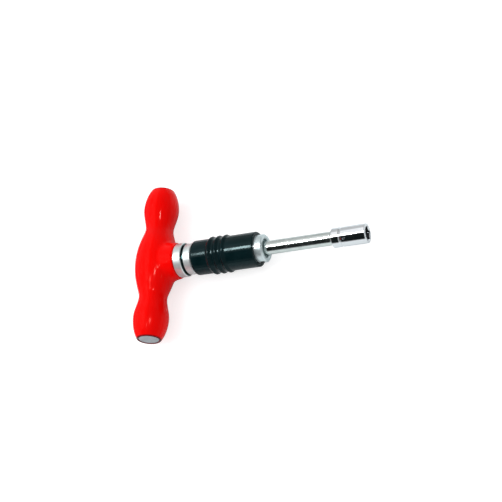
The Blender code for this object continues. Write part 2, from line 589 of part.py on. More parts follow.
make_handle()
make_end_disc("end_disc_left", -1)
make_end_disc("end_disc_right", 1)
make_set_screw()
make_ratchet_barrel()
make_roller_clutch()
make_spindle_washers()
make_clutch_housing()
make_grip_sleeve()
make_end_nut()
make_slip_cam()
make_driven_cam()
make_clutch_spring()
make_thrust_bearing()
make_output_shaft()
make_detent()
make_socket()
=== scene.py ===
"""A tee-handled torque wrench for hose and pipe clamps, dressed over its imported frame.

The tool lies on its side: the shaft runs along +X, the cross handle along Y. Outlines are in
millimetres from the point where the handle's axis crosses the tool's axis.
"""

import math

import bmesh
import bpy
from mathutils import Matrix, Vector
from mathutils.geometry import interpolate_bezier
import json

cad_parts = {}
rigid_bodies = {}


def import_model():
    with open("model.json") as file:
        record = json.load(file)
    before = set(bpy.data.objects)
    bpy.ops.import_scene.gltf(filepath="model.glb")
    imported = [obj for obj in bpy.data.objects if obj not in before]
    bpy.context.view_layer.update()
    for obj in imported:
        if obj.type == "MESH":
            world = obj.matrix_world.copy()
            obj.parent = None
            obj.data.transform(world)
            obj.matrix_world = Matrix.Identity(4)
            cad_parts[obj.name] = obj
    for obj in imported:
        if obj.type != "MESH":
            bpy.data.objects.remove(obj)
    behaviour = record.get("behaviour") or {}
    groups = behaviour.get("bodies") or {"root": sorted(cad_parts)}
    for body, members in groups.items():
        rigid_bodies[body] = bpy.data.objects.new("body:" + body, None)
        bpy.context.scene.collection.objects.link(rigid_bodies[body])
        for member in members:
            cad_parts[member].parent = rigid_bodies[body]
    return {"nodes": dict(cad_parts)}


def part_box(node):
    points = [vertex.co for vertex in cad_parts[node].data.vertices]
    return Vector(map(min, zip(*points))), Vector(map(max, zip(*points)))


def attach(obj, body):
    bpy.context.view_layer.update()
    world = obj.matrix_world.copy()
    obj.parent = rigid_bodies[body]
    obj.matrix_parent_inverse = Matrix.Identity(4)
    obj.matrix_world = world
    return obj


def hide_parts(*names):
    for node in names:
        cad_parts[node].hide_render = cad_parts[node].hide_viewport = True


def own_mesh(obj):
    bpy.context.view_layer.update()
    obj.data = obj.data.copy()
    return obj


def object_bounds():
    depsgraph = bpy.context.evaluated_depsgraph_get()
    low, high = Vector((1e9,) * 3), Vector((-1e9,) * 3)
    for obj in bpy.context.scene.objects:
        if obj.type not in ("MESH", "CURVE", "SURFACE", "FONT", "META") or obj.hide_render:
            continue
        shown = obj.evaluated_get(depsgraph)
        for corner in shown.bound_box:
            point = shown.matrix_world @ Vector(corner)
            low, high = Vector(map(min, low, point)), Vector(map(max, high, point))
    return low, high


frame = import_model()
cad_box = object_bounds()


# ---------------------------------------------------------------- red cross handle
# A cast aluminium tee, dipped in thick glossy red enamel that runs round every edge. The
# boss that takes the ratchet flares into the middle bulge, and both ends are recessed for
# the grey discs. A grub screw from below locks the ratchet barrel in the bore.

MM = 0.001
handle_low, handle_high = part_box("handle")
BULGE_R = (handle_high.z - handle_low.z) / 2 / MM
TOOL_POINT = Vector((handle_low.x + BULGE_R * MM, 0.0, handle_low.z + BULGE_R * MM))
HANDLE_END_Y = handle_high.y / MM
BOSS_FACE_X = (handle_high.x - TOOL_POINT.x) / MM
BOSS_R, BOSS_EDGE = 12.1, 0.7
NECK_Y, NECK_R = 24.2, 9.35
LOBE_Y, LOBE_R = 38.9, 11.8
HANDLE_END_R, HANDLE_RIM_ROUND = 8.3, 1.0
HANDLE_SEGMENTS, HANDLE_CURVE_POINTS, HANDLE_RIM_POINTS = 96, 14, 5
BOSS_FLARE = ((2.0, 19.0, 11.9), (5.0, 17.2, 12.0), (8.0, 15.1, BOSS_R), (11.0, 13.5, BOSS_R),
              (14.0, 12.6, BOSS_R), (BOSS_FACE_X - BOSS_EDGE, BOSS_R, BOSS_R),
              (BOSS_FACE_X, BOSS_R - BOSS_EDGE, BOSS_R - BOSS_EDGE))
ENAMEL_VOXEL = 0.42
ENAMEL_FLOW_PASSES, ENAMEL_SKIN_PASSES = 44, 3
SEAT_GAP = 0.3
SCREW_X, SCREW_R, SCREW_DEG = 9.0, 2.0, 270.0
OVERCUT = 1.0
SHARP_DEG = 32.0
LONG_RUN, END_RING = 1.0, 0.12
MERGE = 0.0001
FLOW_X0, FLOW_X1 = 3.0, 16.4
# Painted shade on the handle's ends: where it starts and where it is full, in mm from each end.
END_SHADE_START, END_SHADE_FULL = 1.1, 0.2


def packed_x(node):
    """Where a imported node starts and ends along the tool, in millimetres."""
    low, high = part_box(node)
    return (low.x - TOOL_POINT.x) / MM, (high.x - TOOL_POINT.x) / MM


def packed_r(node):
    """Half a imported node's height, which is the radius of a turned piece."""
    low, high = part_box(node)
    return (high.z - low.z) / 2 / MM


def add_end_rings(outline):
    """Put a point close to both ends of each long run, so that it shades flat to its edges."""
    following = outline[1:]
    if outline[0][1] > 0.0:
        following = following + outline[:1]
    ringed = []
    for start, finish in zip(outline, following):
        ringed.append(start)
        along, out = finish[0] - start[0], finish[1] - start[1]
        length = math.hypot(along, out)
        if length > LONG_RUN:
            for share in (END_RING / length, 1.0 - END_RING / length):
                ringed.append((start[0] + along * share, start[1] + out * share))
    if outline[0][1] == 0.0:
        ringed.append(outline[-1])
    return ringed


def turned(outline, segments, axis="X"):
    """Spin an outline of (along, radius) points into a closed turned shape, in millimetres."""
    outline = add_end_rings(outline)
    bm = bmesh.new()
    if axis == "X":
        verts = [bm.verts.new((along, 0.0, radius)) for along, radius in outline]
        spin_axis = (1.0, 0.0, 0.0)
    else:
        verts = [bm.verts.new((0.0, along, radius)) for along, radius in outline]
        spin_axis = (0.0, 1.0, 0.0)
    following = verts[1:]
    if outline[0][1] > 0.0:
        following = following + verts[:1]
    edges = [bm.edges.new(pair) for pair in zip(verts, following)]
    bmesh.ops.spin(bm, geom=verts + edges, cent=(0, 0, 0), axis=spin_axis,
                   angle=2 * math.pi, steps=segments, use_merge=True)
    bmesh.ops.remove_doubles(bm, verts=bm.verts, dist=MERGE)
    bmesh.ops.recalc_face_normals(bm, faces=bm.faces)
    return bm


def arc(centre, radius, start_deg, end_deg, points):
    """Points of an arc in an outline, angles counted from +along towards +radius."""
    angles = [math.radians(start_deg + (end_deg - start_deg) * point / points)
              for point in range(points + 1)]
    return [(centre[0] + radius * math.cos(angle), centre[1] + radius * math.sin(angle))
            for angle in angles]


def rod(x0, x1, radius, segments):
    return turned([(x0, 0.0), (x0, radius), (x1, radius), (x1, 0.0)], segments)


def point_outwards(bm, x, turn_deg):
    """Stand a shape made along X on the tool's axis, pointing turn_deg from +Y towards +Z."""
    quarter = Matrix.Rotation(math.pi / 2, 4, "Z")
    aim = Matrix.Rotation(math.radians(turn_deg), 4, "X")
    bmesh.ops.transform(bm, matrix=Matrix.Translation((x, 0, 0)) @ aim @ quarter, verts=bm.verts)


def radial_rod(x, turn_deg, inner_r, outer_r, radius, segments=32):
    bm = rod(inner_r, outer_r, radius, segments)
    point_outwards(bm, x, turn_deg)
    return bm


def lay_in_frame(name, bm):
    """Turn a shape in millimetres into an object in the frame, smooth but for its sharp edges."""
    bmesh.ops.scale(bm, vec=(MM, MM, MM), verts=bm.verts)
    bmesh.ops.translate(bm, vec=TOOL_POINT, verts=bm.verts)
    mesh = bpy.data.meshes.new(name)
    bm.to_mesh(mesh)
    bm.free()
    piece = bpy.data.objects.new(name, mesh)
    bpy.context.scene.collection.objects.link(piece)
    shade(piece)
    return piece


def shade(piece):
    piece.data.shade_smooth()
    piece.data.set_sharp_from_angle(angle=math.radians(SHARP_DEG))


def settle(piece):
    """Make the piece's modifiers part of its mesh."""
    depsgraph = bpy.context.evaluated_depsgraph_get()
    settled = bpy.data.meshes.new_from_object(piece.evaluated_get(depsgraph))
    piece.modifiers.clear()
    piece.data = settled
    settled.name = piece.name
    shade(piece)


def cut(piece, cutter_bm, operation="DIFFERENCE"):
    cutter = lay_in_frame(f"{piece.name}_cutter", cutter_bm)
    boolean = piece.modifiers.new("machining", "BOOLEAN")
    boolean.object = cutter
    boolean.operation = operation
    boolean.solver = "EXACT"
    settle(piece)
    bpy.data.objects.remove(cutter, do_unlink=True)


def dress(piece, material, slot, body, *nodes):
    """Give a piece its finish and its body, in place of the CAD nodes named; the slot is not used.
    """
    piece.data.materials.clear()
    piece.data.materials.append(material)
    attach(piece, body)
    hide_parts(*nodes)


def coat_faces(piece, material, chosen):
    """Give a second finish to the faces chosen by their middle and their normal."""
    piece.data.materials.append(material)
    for face in piece.data.polygons:
        if chosen((face.center - TOOL_POINT) / MM, face.normal):
            face.material_index = 1


def enamel_edge(bm):
    """Round the dipped skin: a long flow where the boss meets the bulge, a light one elsewhere."""
    flow = [v for v in bm.verts if FLOW_X0 < v.co.x < FLOW_X1 and abs(v.co.y) < NECK_Y]
    for verts, passes in ((flow, ENAMEL_FLOW_PASSES), (bm.verts, ENAMEL_SKIN_PASSES)):
        for _ in range(passes):
            bmesh.ops.smooth_vert(bm, verts=verts, factor=0.5, use_axis_x=True, use_axis_y=True,
                                  use_axis_z=True)


rim_y = HANDLE_END_Y - HANDLE_RIM_ROUND
handle_curves = (
    ((0.0, BULGE_R), (13.0, BULGE_R), (20.5, NECK_R), (NECK_Y, NECK_R)),
    ((NECK_Y, NECK_R), (29.0, NECK_R), (34.0, LOBE_R), (LOBE_Y, LOBE_R)),
    ((LOBE_Y, LOBE_R), (45.0, LOBE_R), (50.6, 9.8), (rim_y, HANDLE_END_R)),
)
half_handle = [(0.0, BULGE_R)]
for knots in handle_curves:
    bend = interpolate_bezier(*[Vector((*knot, 0.0)) for knot in knots], HANDLE_CURVE_POINTS)
    half_handle += [(point.x, point.y) for point in bend[1:]]
half_handle += arc((rim_y, HANDLE_END_R - HANDLE_RIM_ROUND), HANDLE_RIM_ROUND, 90.0, 0.0,
                   HANDLE_RIM_POINTS)[1:]
half_handle.append((HANDLE_END_Y, 0.0))
other_half = [(-along, radius) for along, radius in reversed(half_handle[1:])]
tee = turned(other_half + half_handle, HANDLE_SEGMENTS, axis="Y")

made = bmesh.ops.create_circle(tee, cap_ends=True, radius=1.0, segments=HANDLE_SEGMENTS)
rim = made["verts"]
bmesh.ops.rotate(tee, cent=(0, 0, 0), matrix=Matrix.Rotation(math.pi / 2, 3, "Y"), verts=rim)
boss_x, half_y, half_z = BOSS_FLARE[0]
bmesh.ops.scale(tee, vec=(1.0, half_y, half_z), verts=rim)
bmesh.ops.translate(tee, vec=(boss_x, 0, 0), verts=rim)
boss_start = set(rim)
ring_edges = [edge for edge in tee.edges if set(edge.verts) <= boss_start]
for next_x, next_y, next_z in BOSS_FLARE[1:]:
    grown = bmesh.ops.extrude_edge_only(tee, edges=ring_edges)["geom"]
    rim = [item for item in grown if isinstance(item, bmesh.types.BMVert)]
    ring_edges = [item for item in grown if isinstance(item, bmesh.types.BMEdge)
                  and set(item.verts) <= set(rim)]
    bmesh.ops.scale(tee, vec=(1.0, next_y / half_y, next_z / half_z), verts=rim)
    bmesh.ops.translate(tee, vec=(next_x - boss_x, 0, 0), verts=rim)
    boss_x, half_y, half_z = next_x, next_y, next_z
bmesh.ops.contextual_create(tee, geom=ring_edges)
bmesh.ops.recalc_face_normals(tee, faces=tee.faces)

red_handle = lay_in_frame("red_tee_handle", tee)
skin = red_handle.modifiers.new("enamel_skin", "REMESH")
skin.mode = "VOXEL"
skin.voxel_size = ENAMEL_VOXEL * MM
settle(red_handle)
dipped = bmesh.new()
dipped.from_mesh(red_handle.data)
bmesh.ops.translate(dipped, vec=-TOOL_POINT, verts=dipped.verts)
bmesh.ops.scale(dipped, vec=(1 / MM, 1 / MM, 1 / MM), verts=dipped.verts)
enamel_edge(dipped)
bmesh.ops.scale(dipped, vec=(MM, MM, MM), verts=dipped.verts)
bmesh.ops.translate(dipped, vec=TOOL_POINT, verts=dipped.verts)
dipped.to_mesh(red_handle.data)
dipped.free()

disc_low, disc_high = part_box("end_disc_right")
DISC_R = packed_r("end_disc_right")
RECESS_FLOOR_Y = disc_low.y / MM - SEAT_GAP
BARREL_BACK_X, RING_FRONT_X = packed_x("ratchet_barrel")
BARREL_R = 8.5
for end in (-1.0, 1.0):
    recess = turned([(end * RECESS_FLOOR_Y, 0.0), (end * RECESS_FLOOR_Y, DISC_R + SEAT_GAP),
                     (end * (HANDLE_END_Y + OVERCUT), DISC_R + SEAT_GAP),
                     (end * (HANDLE_END_Y + OVERCUT), 0.0)], HANDLE_SEGMENTS, axis="Y")
    cut(red_handle, recess)
cut(red_handle, rod(BARREL_BACK_X - 2 * SEAT_GAP, BOSS_FACE_X + OVERCUT, BARREL_R + SEAT_GAP,
                    HANDLE_SEGMENTS))
cut(red_handle, radial_rod(SCREW_X, SCREW_DEG, BARREL_R - OVERCUT, BULGE_R + OVERCUT,
                           SCREW_R + SEAT_GAP))


def new_group(name, inputs, outputs):
    """A shader group with its own sockets, and its two end nodes."""
    group = bpy.data.node_groups.new(name, "ShaderNodeTree")
    for label, kind, value in inputs:
        socket = group.interface.new_socket(name=label, in_out="INPUT", socket_type=kind)
        if value is not None:
            socket.default_value = value
    for label, kind in outputs:
        group.interface.new_socket(name=label, in_out="OUTPUT", socket_type=kind)
    return group, group.nodes.new("NodeGroupInput"), group.nodes.new("NodeGroupOutput")


def feed(tree, socket, value):
    """Link a socket to what drives it, or set its own value."""
    if isinstance(value, bpy.types.NodeSocket):
        tree.links.new(value, socket)
    else:
        socket.default_value = value


def step(tree, kind, links=(), **settings):
    """Add one node: settings go on the node, links join sockets or set their values."""
    made_node = tree.nodes.new(kind)
    for key, value in settings.items():
        setattr(made_node, key, value)
    for socket, source in links:
        feed(tree, made_node.inputs[socket], source)
    return made_node


def maths(tree, operation, first, second=0.0, clamp=False):
    return step(tree, "ShaderNodeMath", ((0, first), (1, second)), operation=operation,
                use_clamp=clamp).outputs[0]


def times(tree, first, second):
    return maths(tree, "MULTIPLY", first, second)


def plus(tree, first, second):
    return maths(tree, "ADD", first, second)


def spread(tree, value, low, high, new_low=0.0, new_high=1.0):
    """Stretch a value from one range to another, held at its ends."""
    return step(tree, "ShaderNodeMapRange", (("Value", value), ("From Min", low), ("From Max", high),
                ("To Min", new_low), ("To Max", new_high))).outputs[0]


def noise(tree, vector, scale, detail=3.0, roughness=0.55, distortion=0.0):
    return step(tree, "ShaderNodeTexNoise", (("Vector", vector), ("Scale", scale),
                ("Detail", detail), ("Roughness", roughness),
                ("Distortion", distortion))).outputs["Fac"]


def place(tree):
    """Object coordinates counted from the handle and tool axes' crossing."""
    coordinates = tree.nodes.new("ShaderNodeTexCoord")
    return step(tree, "ShaderNodeMapping", (("Vector", coordinates.outputs["Object"]),
                ("Location", tuple(-TOOL_POINT)))).outputs[0]


def make_handling_marks():
    """Soft smears and fine crossing scratches left by hands and a tool box."""
    group, start, end = new_group(
        "handling_marks",
        (("Vector", "NodeSocketVector", None), ("Smear Scale", "NodeSocketFloat", 60.0),
         ("Scratch Scale", "NodeSocketFloat", 240.0)),
        (("Smears", "NodeSocketFloat"), ("Scratches", "NodeSocketFloat")))
    cloud = noise(group, start.outputs["Vector"], start.outputs["Smear Scale"], 4.0, 0.6, 0.8)
    smears = spread(group, cloud, 0.42, 0.68)
    lines = []
    for turn, stretch in ((0.5, 0.05), (-0.9, 0.07)):
        turned_over = step(group, "ShaderNodeMapping", (("Vector", start.outputs["Vector"]),
                           ("Rotation", (0.4 * turn, 0.7, turn)), ("Scale", (1.0, stretch, 1.0))))
        hair = noise(group, turned_over.outputs[0], start.outputs["Scratch Scale"], 2.0, 0.5)
        lines.append(spread(group, hair, 0.70, 0.78))
    both = maths(group, "MAXIMUM", lines[0], lines[1])
    group.links.new(smears, end.inputs["Smears"])
    group.links.new(both, end.inputs["Scratches"])
    return group


def make_worn_edges():
    """A mask that is 1 on outer corners and breaks up along them."""
    group, start, end = new_group(
        "worn_edges",
        (("Vector", "NodeSocketVector", None), ("Width", "NodeSocketFloat", 0.0004),
         ("Breakup Scale", "NodeSocketFloat", 500.0)),
        (("Mask", "NodeSocketFloat"),))
    softened = step(group, "ShaderNodeBevel", (("Radius", start.outputs["Width"]),), samples=4)
    flat = group.nodes.new("ShaderNodeNewGeometry")
    likeness = step(group, "ShaderNodeVectorMath", ((0, softened.outputs[0]),
                    (1, flat.outputs["Normal"])), operation="DOT_PRODUCT").outputs["Value"]
    corner = spread(group, likeness, 0.995, 0.90)
    ragged = spread(group, noise(group, start.outputs["Vector"], start.outputs["Breakup Scale"]),
                    0.35, 0.6)
    group.links.new(maths(group, "MULTIPLY", corner, ragged, clamp=True), end.inputs["Mask"])
    return group


HANDLING_MARKS = make_handling_marks()
WORN_EDGES = make_worn_edges()


def new_finish(name, colour, roughness, metallic):
    """A material with its shader, and the tool's own coordinates in its tree."""
    finish = bpy.data.materials.new(name)
    finish.use_nodes = True
    tree = finish.node_tree
    shader = tree.nodes["Principled BSDF"]
    shader.inputs["Base Color"].default_value = (*colour, 1.0)
    shader.inputs["Roughness"].default_value = roughness
    shader.inputs["Metallic"].default_value = metallic
    return finish, tree, shader, place(tree)


def use(tree, group, **values):
    """Place a shared group in a material with this material's own values."""
    placed = tree.nodes.new("ShaderNodeGroup")
    placed.node_tree = group
    for key, value in values.items():
        feed(tree, placed.inputs[key.replace("_", " ")], value)
    return placed.outputs


def marks_on(tree, where, smear_scale, scratch_scale):
    return use(tree, HANDLING_MARKS, Vector=where, Smear_Scale=smear_scale,
               Scratch_Scale=scratch_scale)


def edges_on(tree, where, width, breakup_scale):
    return use(tree, WORN_EDGES, Vector=where, Width=width, Breakup_Scale=breakup_scale)["Mask"]


def blend_colour(tree, factor, first, second):
    mixed = step(tree, "ShaderNodeMix", data_type="RGBA", blend_type="MIX")
    colour_sockets = [s for s in mixed.inputs if s.type == "RGBA"]
    for socket, value in zip(colour_sockets, (first, second)):
        if isinstance(value, bpy.types.NodeSocket):
            tree.links.new(value, socket)
        else:
            socket.default_value = (*value, 1.0)
    tree.links.new(factor, mixed.inputs[0])
    return [s for s in mixed.outputs if s.type == "RGBA"][0]


def touch(tree, colour, mask, share, over):
    """Lay another colour over this one where the mask shows."""
    return blend_colour(tree, times(tree, mask, share), colour, over)


def lay_on(tree, shader, colour, rough):
    """Join a finish's colour and roughness to its shader."""
    tree.links.new(colour, shader.inputs["Base Color"])
    tree.links.new(rough, shader.inputs["Roughness"])


def raise_bump(tree, shader, height, distance, strength):
    bump = step(tree, "ShaderNodeBump", (("Height", height), ("Distance", distance),
                ("Strength", strength)))
    tree.links.new(bump.outputs[0], shader.inputs["Normal"])


def make_red_enamel():
    finish, tree, shader, where = new_finish("red_enamel_dip", (0.80, 0.001, 0.0004), 0.16, 0.0)
    pool = noise(tree, where, 34.0, 2.0, 0.5)
    colour = blend_colour(tree, spread(tree, pool, 0.35, 0.65), (0.98, 0.0012, 0.0004),
                          (0.86, 0.0007, 0.0003))
    marks = marks_on(tree, where, 70.0, 420.0)
    edges = edges_on(tree, where, 0.0005, 700.0)
    colour = touch(tree, colour, marks["Scratches"], 0.25, (0.95, 0.10, 0.07))
    colour = touch(tree, colour, edges, 0.5, (0.22, 0.002, 0.001))
    parts = step(tree, "ShaderNodeSeparateXYZ", ((0, where),))
    out_along = maths(tree, "ABSOLUTE", parts.outputs["Y"])
    # Painted shade: the red turns almost black on the last millimetre of each end, round the disc
    # recess, where shade falls at the rim.
    painted_end_shade = spread(tree, out_along, (HANDLE_END_Y - END_SHADE_START) * MM, (HANDLE_END_Y - END_SHADE_FULL) * MM)
    colour = touch(tree, colour, painted_end_shade, 0.95, (0.045, 0.004, 0.006))
    dulled = times(tree, marks["Smears"], 0.08)
    scratched = times(tree, marks["Scratches"], 0.22)
    rough = plus(tree, plus(tree, dulled, 0.11), scratched)
    lay_on(tree, shader, colour, rough)
    shader.inputs["Specular IOR Level"].default_value = 0.20
    shader.inputs["Specular Tint"].default_value = (1.0, 0.30, 0.26, 1.0)
    peel = noise(tree, where, 620.0, 2.0, 0.5)
    sag = noise(tree, where, 95.0, 1.0, 0.4)
    height = plus(tree, times(tree, peel, 0.06), sag)
    raise_bump(tree, shader, height, 0.00022, 0.6)
    return finish


RED_ENAMEL = make_red_enamel()
dress(red_handle, RED_ENAMEL, "red_enamel", "handle_body", "handle")


# ---------------------------------------------------------------- grey end discs
# Two thin aluminium discs pressed into the handle's ends. Each is faced on a lathe, which
# leaves fine rings round its own centre, and its rim is broken with a small chamfer.

DISC_CHAMFER = 0.25
DISC_DISH, DISH_START = 0.12, 0.6


def make_lathe_rings():
    """Fine turning rings about X: along the axis on a cylinder, outwards on a flat face."""
    group, start, end = new_group(
        "lathe_rings",
        (("Vector", "NodeSocketVector", None), ("Fine Scale", "NodeSocketFloat", 2600.0),
         ("Band Scale", "NodeSocketFloat", 260.0)),
        (("Rings", "NodeSocketFloat"), ("Bands", "NodeSocketFloat")))
    parts = step(group, "ShaderNodeSeparateXYZ", ((0, start.outputs["Vector"]),))
    across = times(group, parts.outputs["Y"], parts.outputs["Y"])
    up = times(group, parts.outputs["Z"], parts.outputs["Z"])
    radius = maths(group, "SQRT", plus(group, across, up))
    wander = times(group, noise(group, start.outputs["Vector"], 90.0, 1.0), 0.00012)
    along = plus(group, parts.outputs["X"], wander)
    unrolled = step(group, "ShaderNodeCombineXYZ", ((0, along), (1, radius))).outputs[0]
    rings = noise(group, unrolled, start.outputs["Fine Scale"], 2.0, 0.6)
    bands = noise(group, unrolled, start.outputs["Band Scale"], 2.0, 0.5)
    group.links.new(rings, end.inputs["Rings"])
    group.links.new(bands, end.inputs["Bands"])
    return group


LATHE_RINGS = make_lathe_rings()


def rings_on(tree, where, fine_scale, band_scale):
    return use(tree, LATHE_RINGS, Vector=where, Fine_Scale=fine_scale, Band_Scale=band_scale)


def make_disc_grey():
    finish, tree, shader, where = new_finish("grey_faced_aluminium", (0.37, 0.41, 0.44), 0.38, 0.7)
    facing = step(tree, "ShaderNodeMapping", (("Vector", where),
                  ("Rotation", (0.0, 0.0, math.pi / 2)))).outputs[0]
    rings = rings_on(tree, facing, 3400.0, 420.0)
    marks = marks_on(tree, where, 210.0, 900.0)
    edges = edges_on(tree, where, 0.0003, 900.0)
    colour = blend_colour(tree, spread(tree, rings["Bands"], 0.35, 0.65), (0.33, 0.37, 0.40),
                          (0.43, 0.46, 0.48))
    colour = touch(tree, colour, edges, 0.7, (0.62, 0.64, 0.66))
    colour = touch(tree, colour, marks["Smears"], 0.25, (0.16, 0.17, 0.175))
    rough = plus(tree, times(tree, marks["Smears"], 0.14), 0.30)
    lay_on(tree, shader, colour, rough)
    raise_bump(tree, shader, rings["Rings"], 0.00004, 0.6)
    return finish


DISC_GREY = make_disc_grey()
disc_inner_y, disc_outer_y = disc_low.y / MM, disc_high.y / MM
for end, name, node in ((-1.0, "left_end_plug", "end_disc_left"),
                        (1.0, "right_end_plug", "end_disc_right")):
    face_y = disc_outer_y - DISC_CHAMFER
    disc = turned([(end * disc_inner_y, 0.0), (end * disc_inner_y, DISC_R - DISC_CHAMFER),
                   (end * (disc_inner_y + DISC_CHAMFER), DISC_R), (end * face_y, DISC_R),
                   (end * disc_outer_y, DISC_R - DISC_CHAMFER),
                   (end * (disc_outer_y - DISC_DISH / 3), DISC_R * DISH_START),
                   (end * (disc_outer_y - DISC_DISH), 0.0)], HANDLE_SEGMENTS, axis="Y")
    dress(lay_in_frame(name, disc), DISC_GREY, "grey_aluminium", "handle_body", node)


# ---------------------------------------------------------------- ratchet barrel
# A turned and zinc-plated steel barrel, pressed into the handle's boss. Its flange is the
# bright ring beside the handle, and its bore holds the one-way roller clutch.

EDGE = 0.5
RING_BACK_X = BOSS_FACE_X + SEAT_GAP
RING_R = packed_r("ratchet_barrel")
BARREL_BORE_R, BARREL_BORE_END_X = 7.0, 14.6
SPINDLE_R = 4.0
WASHER_SEAT_R, WASHER_SEAT_DEPTH = 7.6, 1.1
SMALL_SCREW_SEAT = 0.6
TURNED_SEGMENTS = 128


def make_zinc_plate(name, colour, shadow, roughness, ring_bump, smear_amount, metallic=1.0):
    """Bright zinc over turned steel: cloudy, with fine rings, dull smears and bright corners."""
    finish, tree, shader, where = new_finish(name, colour, roughness, metallic)
    rings = rings_on(tree, where, 2400.0, 300.0)
    marks = marks_on(tree, where, 120.0, 620.0)
    edges = edges_on(tree, where, 0.0003, 800.0)
    cloud = noise(tree, where, 260.0, 3.0, 0.6, 0.5)
    tint = blend_colour(tree, spread(tree, cloud, 0.35, 0.7), colour, shadow)
    tint = touch(tree, tint, rings["Bands"], 0.35, shadow)
    tint = touch(tree, tint, edges, 0.6, (0.93, 0.94, 0.94))
    dull = times(tree, marks["Smears"], smear_amount)
    fine = times(tree, marks["Scratches"], 0.12)
    rough = plus(tree, plus(tree, dull, roughness), fine)
    lay_on(tree, shader, tint, rough)
    raise_bump(tree, shader, rings["Rings"], ring_bump, 0.6)
    return finish


SATIN_ZINC = make_zinc_plate("satin_zinc_plate", (0.90, 0.92, 0.92), (0.72, 0.79, 0.79), 0.34,
                             0.00004, 0.12, metallic=0.8)
barrel_outline = [
    (BARREL_BACK_X, BARREL_BORE_R), (BARREL_BACK_X, BARREL_R), (RING_BACK_X, BARREL_R),
    (RING_BACK_X, RING_R - EDGE), (RING_BACK_X + EDGE, RING_R), (RING_FRONT_X - EDGE, RING_R),
    (RING_FRONT_X, RING_R - EDGE), (RING_FRONT_X, WASHER_SEAT_R),
    (RING_FRONT_X - WASHER_SEAT_DEPTH, WASHER_SEAT_R),
    (RING_FRONT_X - WASHER_SEAT_DEPTH, SPINDLE_R + SEAT_GAP),
    (BARREL_BORE_END_X, SPINDLE_R + SEAT_GAP), (BARREL_BORE_END_X, BARREL_BORE_R),
]
ratchet_ring = lay_in_frame("ratchet_ring", turned(barrel_outline, TURNED_SEGMENTS))
cut(ratchet_ring, radial_rod(SCREW_X, SCREW_DEG, BARREL_R - SMALL_SCREW_SEAT, BARREL_R + OVERCUT,
                             SCREW_R + SEAT_GAP))
dress(ratchet_ring, SATIN_ZINC, "plated_steel", "handle_body", "ratchet_barrel")


# ---------------------------------------------------------------- one-way roller clutch
# Inside the barrel: a drawn steel cup, its brass cage and eight needle rollers, which lock
# the handle to the spindle one way and run free the other. Bronze and steel washers and a
# circlip hold the spindle, and a black grub screw holds the barrel. All are lightly oiled.

ROLLER_COUNT = 8


def make_oiled_steel(name, colour, roughness):
    """Ground steel under a thin film of oil that darkens it in pools."""
    finish, tree, shader, where = new_finish(name, colour, roughness, 1.0)
    rings = rings_on(tree, where, 3000.0, 500.0)
    marks = marks_on(tree, where, 260.0, 1200.0)
    pooled = tuple(channel * 0.6 for channel in colour)
    bright = tuple(min(1.0, channel * 1.5) for channel in colour)
    tint = blend_colour(tree, times(tree, marks["Smears"], 0.7), colour, pooled)
    tint = touch(tree, tint, marks["Scratches"], 0.5, bright)
    rough = plus(tree, times(tree, rings["Bands"], 0.14), roughness - 0.05)
    lay_on(tree, shader, tint, rough)
    raise_bump(tree, shader, rings["Rings"], 0.00003, 0.5)
    return finish


def make_porous_bronze():
    """Sintered bearing bronze: open pores, each holding a little dark oil."""
    finish, tree, shader, where = new_finish("porous_bronze", (0.45, 0.28, 0.12), 0.42, 0.9)
    pores = step(tree, "ShaderNodeTexVoronoi", (("Vector", where), ("Scale", 2600.0)))
    open_pore = spread(tree, pores.outputs["Distance"], 0.28, 0.12)
    cloud = noise(tree, where, 300.0, 3.0, 0.6)
    tint = blend_colour(tree, spread(tree, cloud, 0.35, 0.65), (0.50, 0.31, 0.14),
                        (0.33, 0.20, 0.09))
    tint = touch(tree, tint, open_pore, 0.8, (0.06, 0.035, 0.018))
    rough = spread(tree, cloud, 0.3, 0.7, 0.32, 0.52)
    lay_on(tree, shader, tint, rough)
    raise_bump(tree, shader, times(tree, open_pore, -1.0), 0.00005, 0.7)
    return finish


def make_cage_brass():
    """Stamped brass: rolled streaks, rubbed bright on its corners."""
    finish, tree, shader, where = new_finish("stamped_brass", (0.66, 0.47, 0.17), 0.30, 1.0)
    rolled = step(tree, "ShaderNodeMapping", (("Vector", where), ("Scale", (0.08, 1.0, 1.0))))
    streaks = noise(tree, rolled.outputs[0], 900.0, 3.0, 0.6)
    edges = edges_on(tree, where, 0.00025, 1200.0)
    tint = blend_colour(tree, spread(tree, streaks, 0.35, 0.65), (0.68, 0.49, 0.18),
                        (0.44, 0.30, 0.11))
    tint = touch(tree, tint, edges, 0.7, (0.86, 0.68, 0.34))
    rough = spread(tree, streaks, 0.3, 0.7, 0.24, 0.40)
    lay_on(tree, shader, tint, rough)
    raise_bump(tree, shader, streaks, 0.00003, 0.5)
    return finish


def make_oxide_and_hole_shade():
    """Blackened steel with the film rubbed through on its corners; laid in the spanner hole, it is
    painted shade.
    """
    finish, tree, shader, where = new_finish("black_oxide_and_hole_shade", (0.028, 0.027, 0.028), 0.40, 0.8)
    marks = marks_on(tree, where, 400.0, 1500.0)
    edges = edges_on(tree, where, 0.0002, 1500.0)
    tint = blend_colour(tree, marks["Smears"], (0.020, 0.019, 0.021), (0.045, 0.041, 0.038))
    tint = touch(tree, tint, edges, 0.6, (0.30, 0.29, 0.28))
    rough = spread(tree, marks["Smears"], 0.0, 1.0, 0.34, 0.50)
    lay_on(tree, shader, tint, rough)
    raise_bump(tree, shader, marks["Scratches"], 0.00002, 0.5)
    return finish


def coat_nodes(material, *names):
    """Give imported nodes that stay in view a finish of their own."""
    for name in names:
        slots = frame["nodes"][name].material_slots
        for material_slot in slots:
            material_slot.material = material


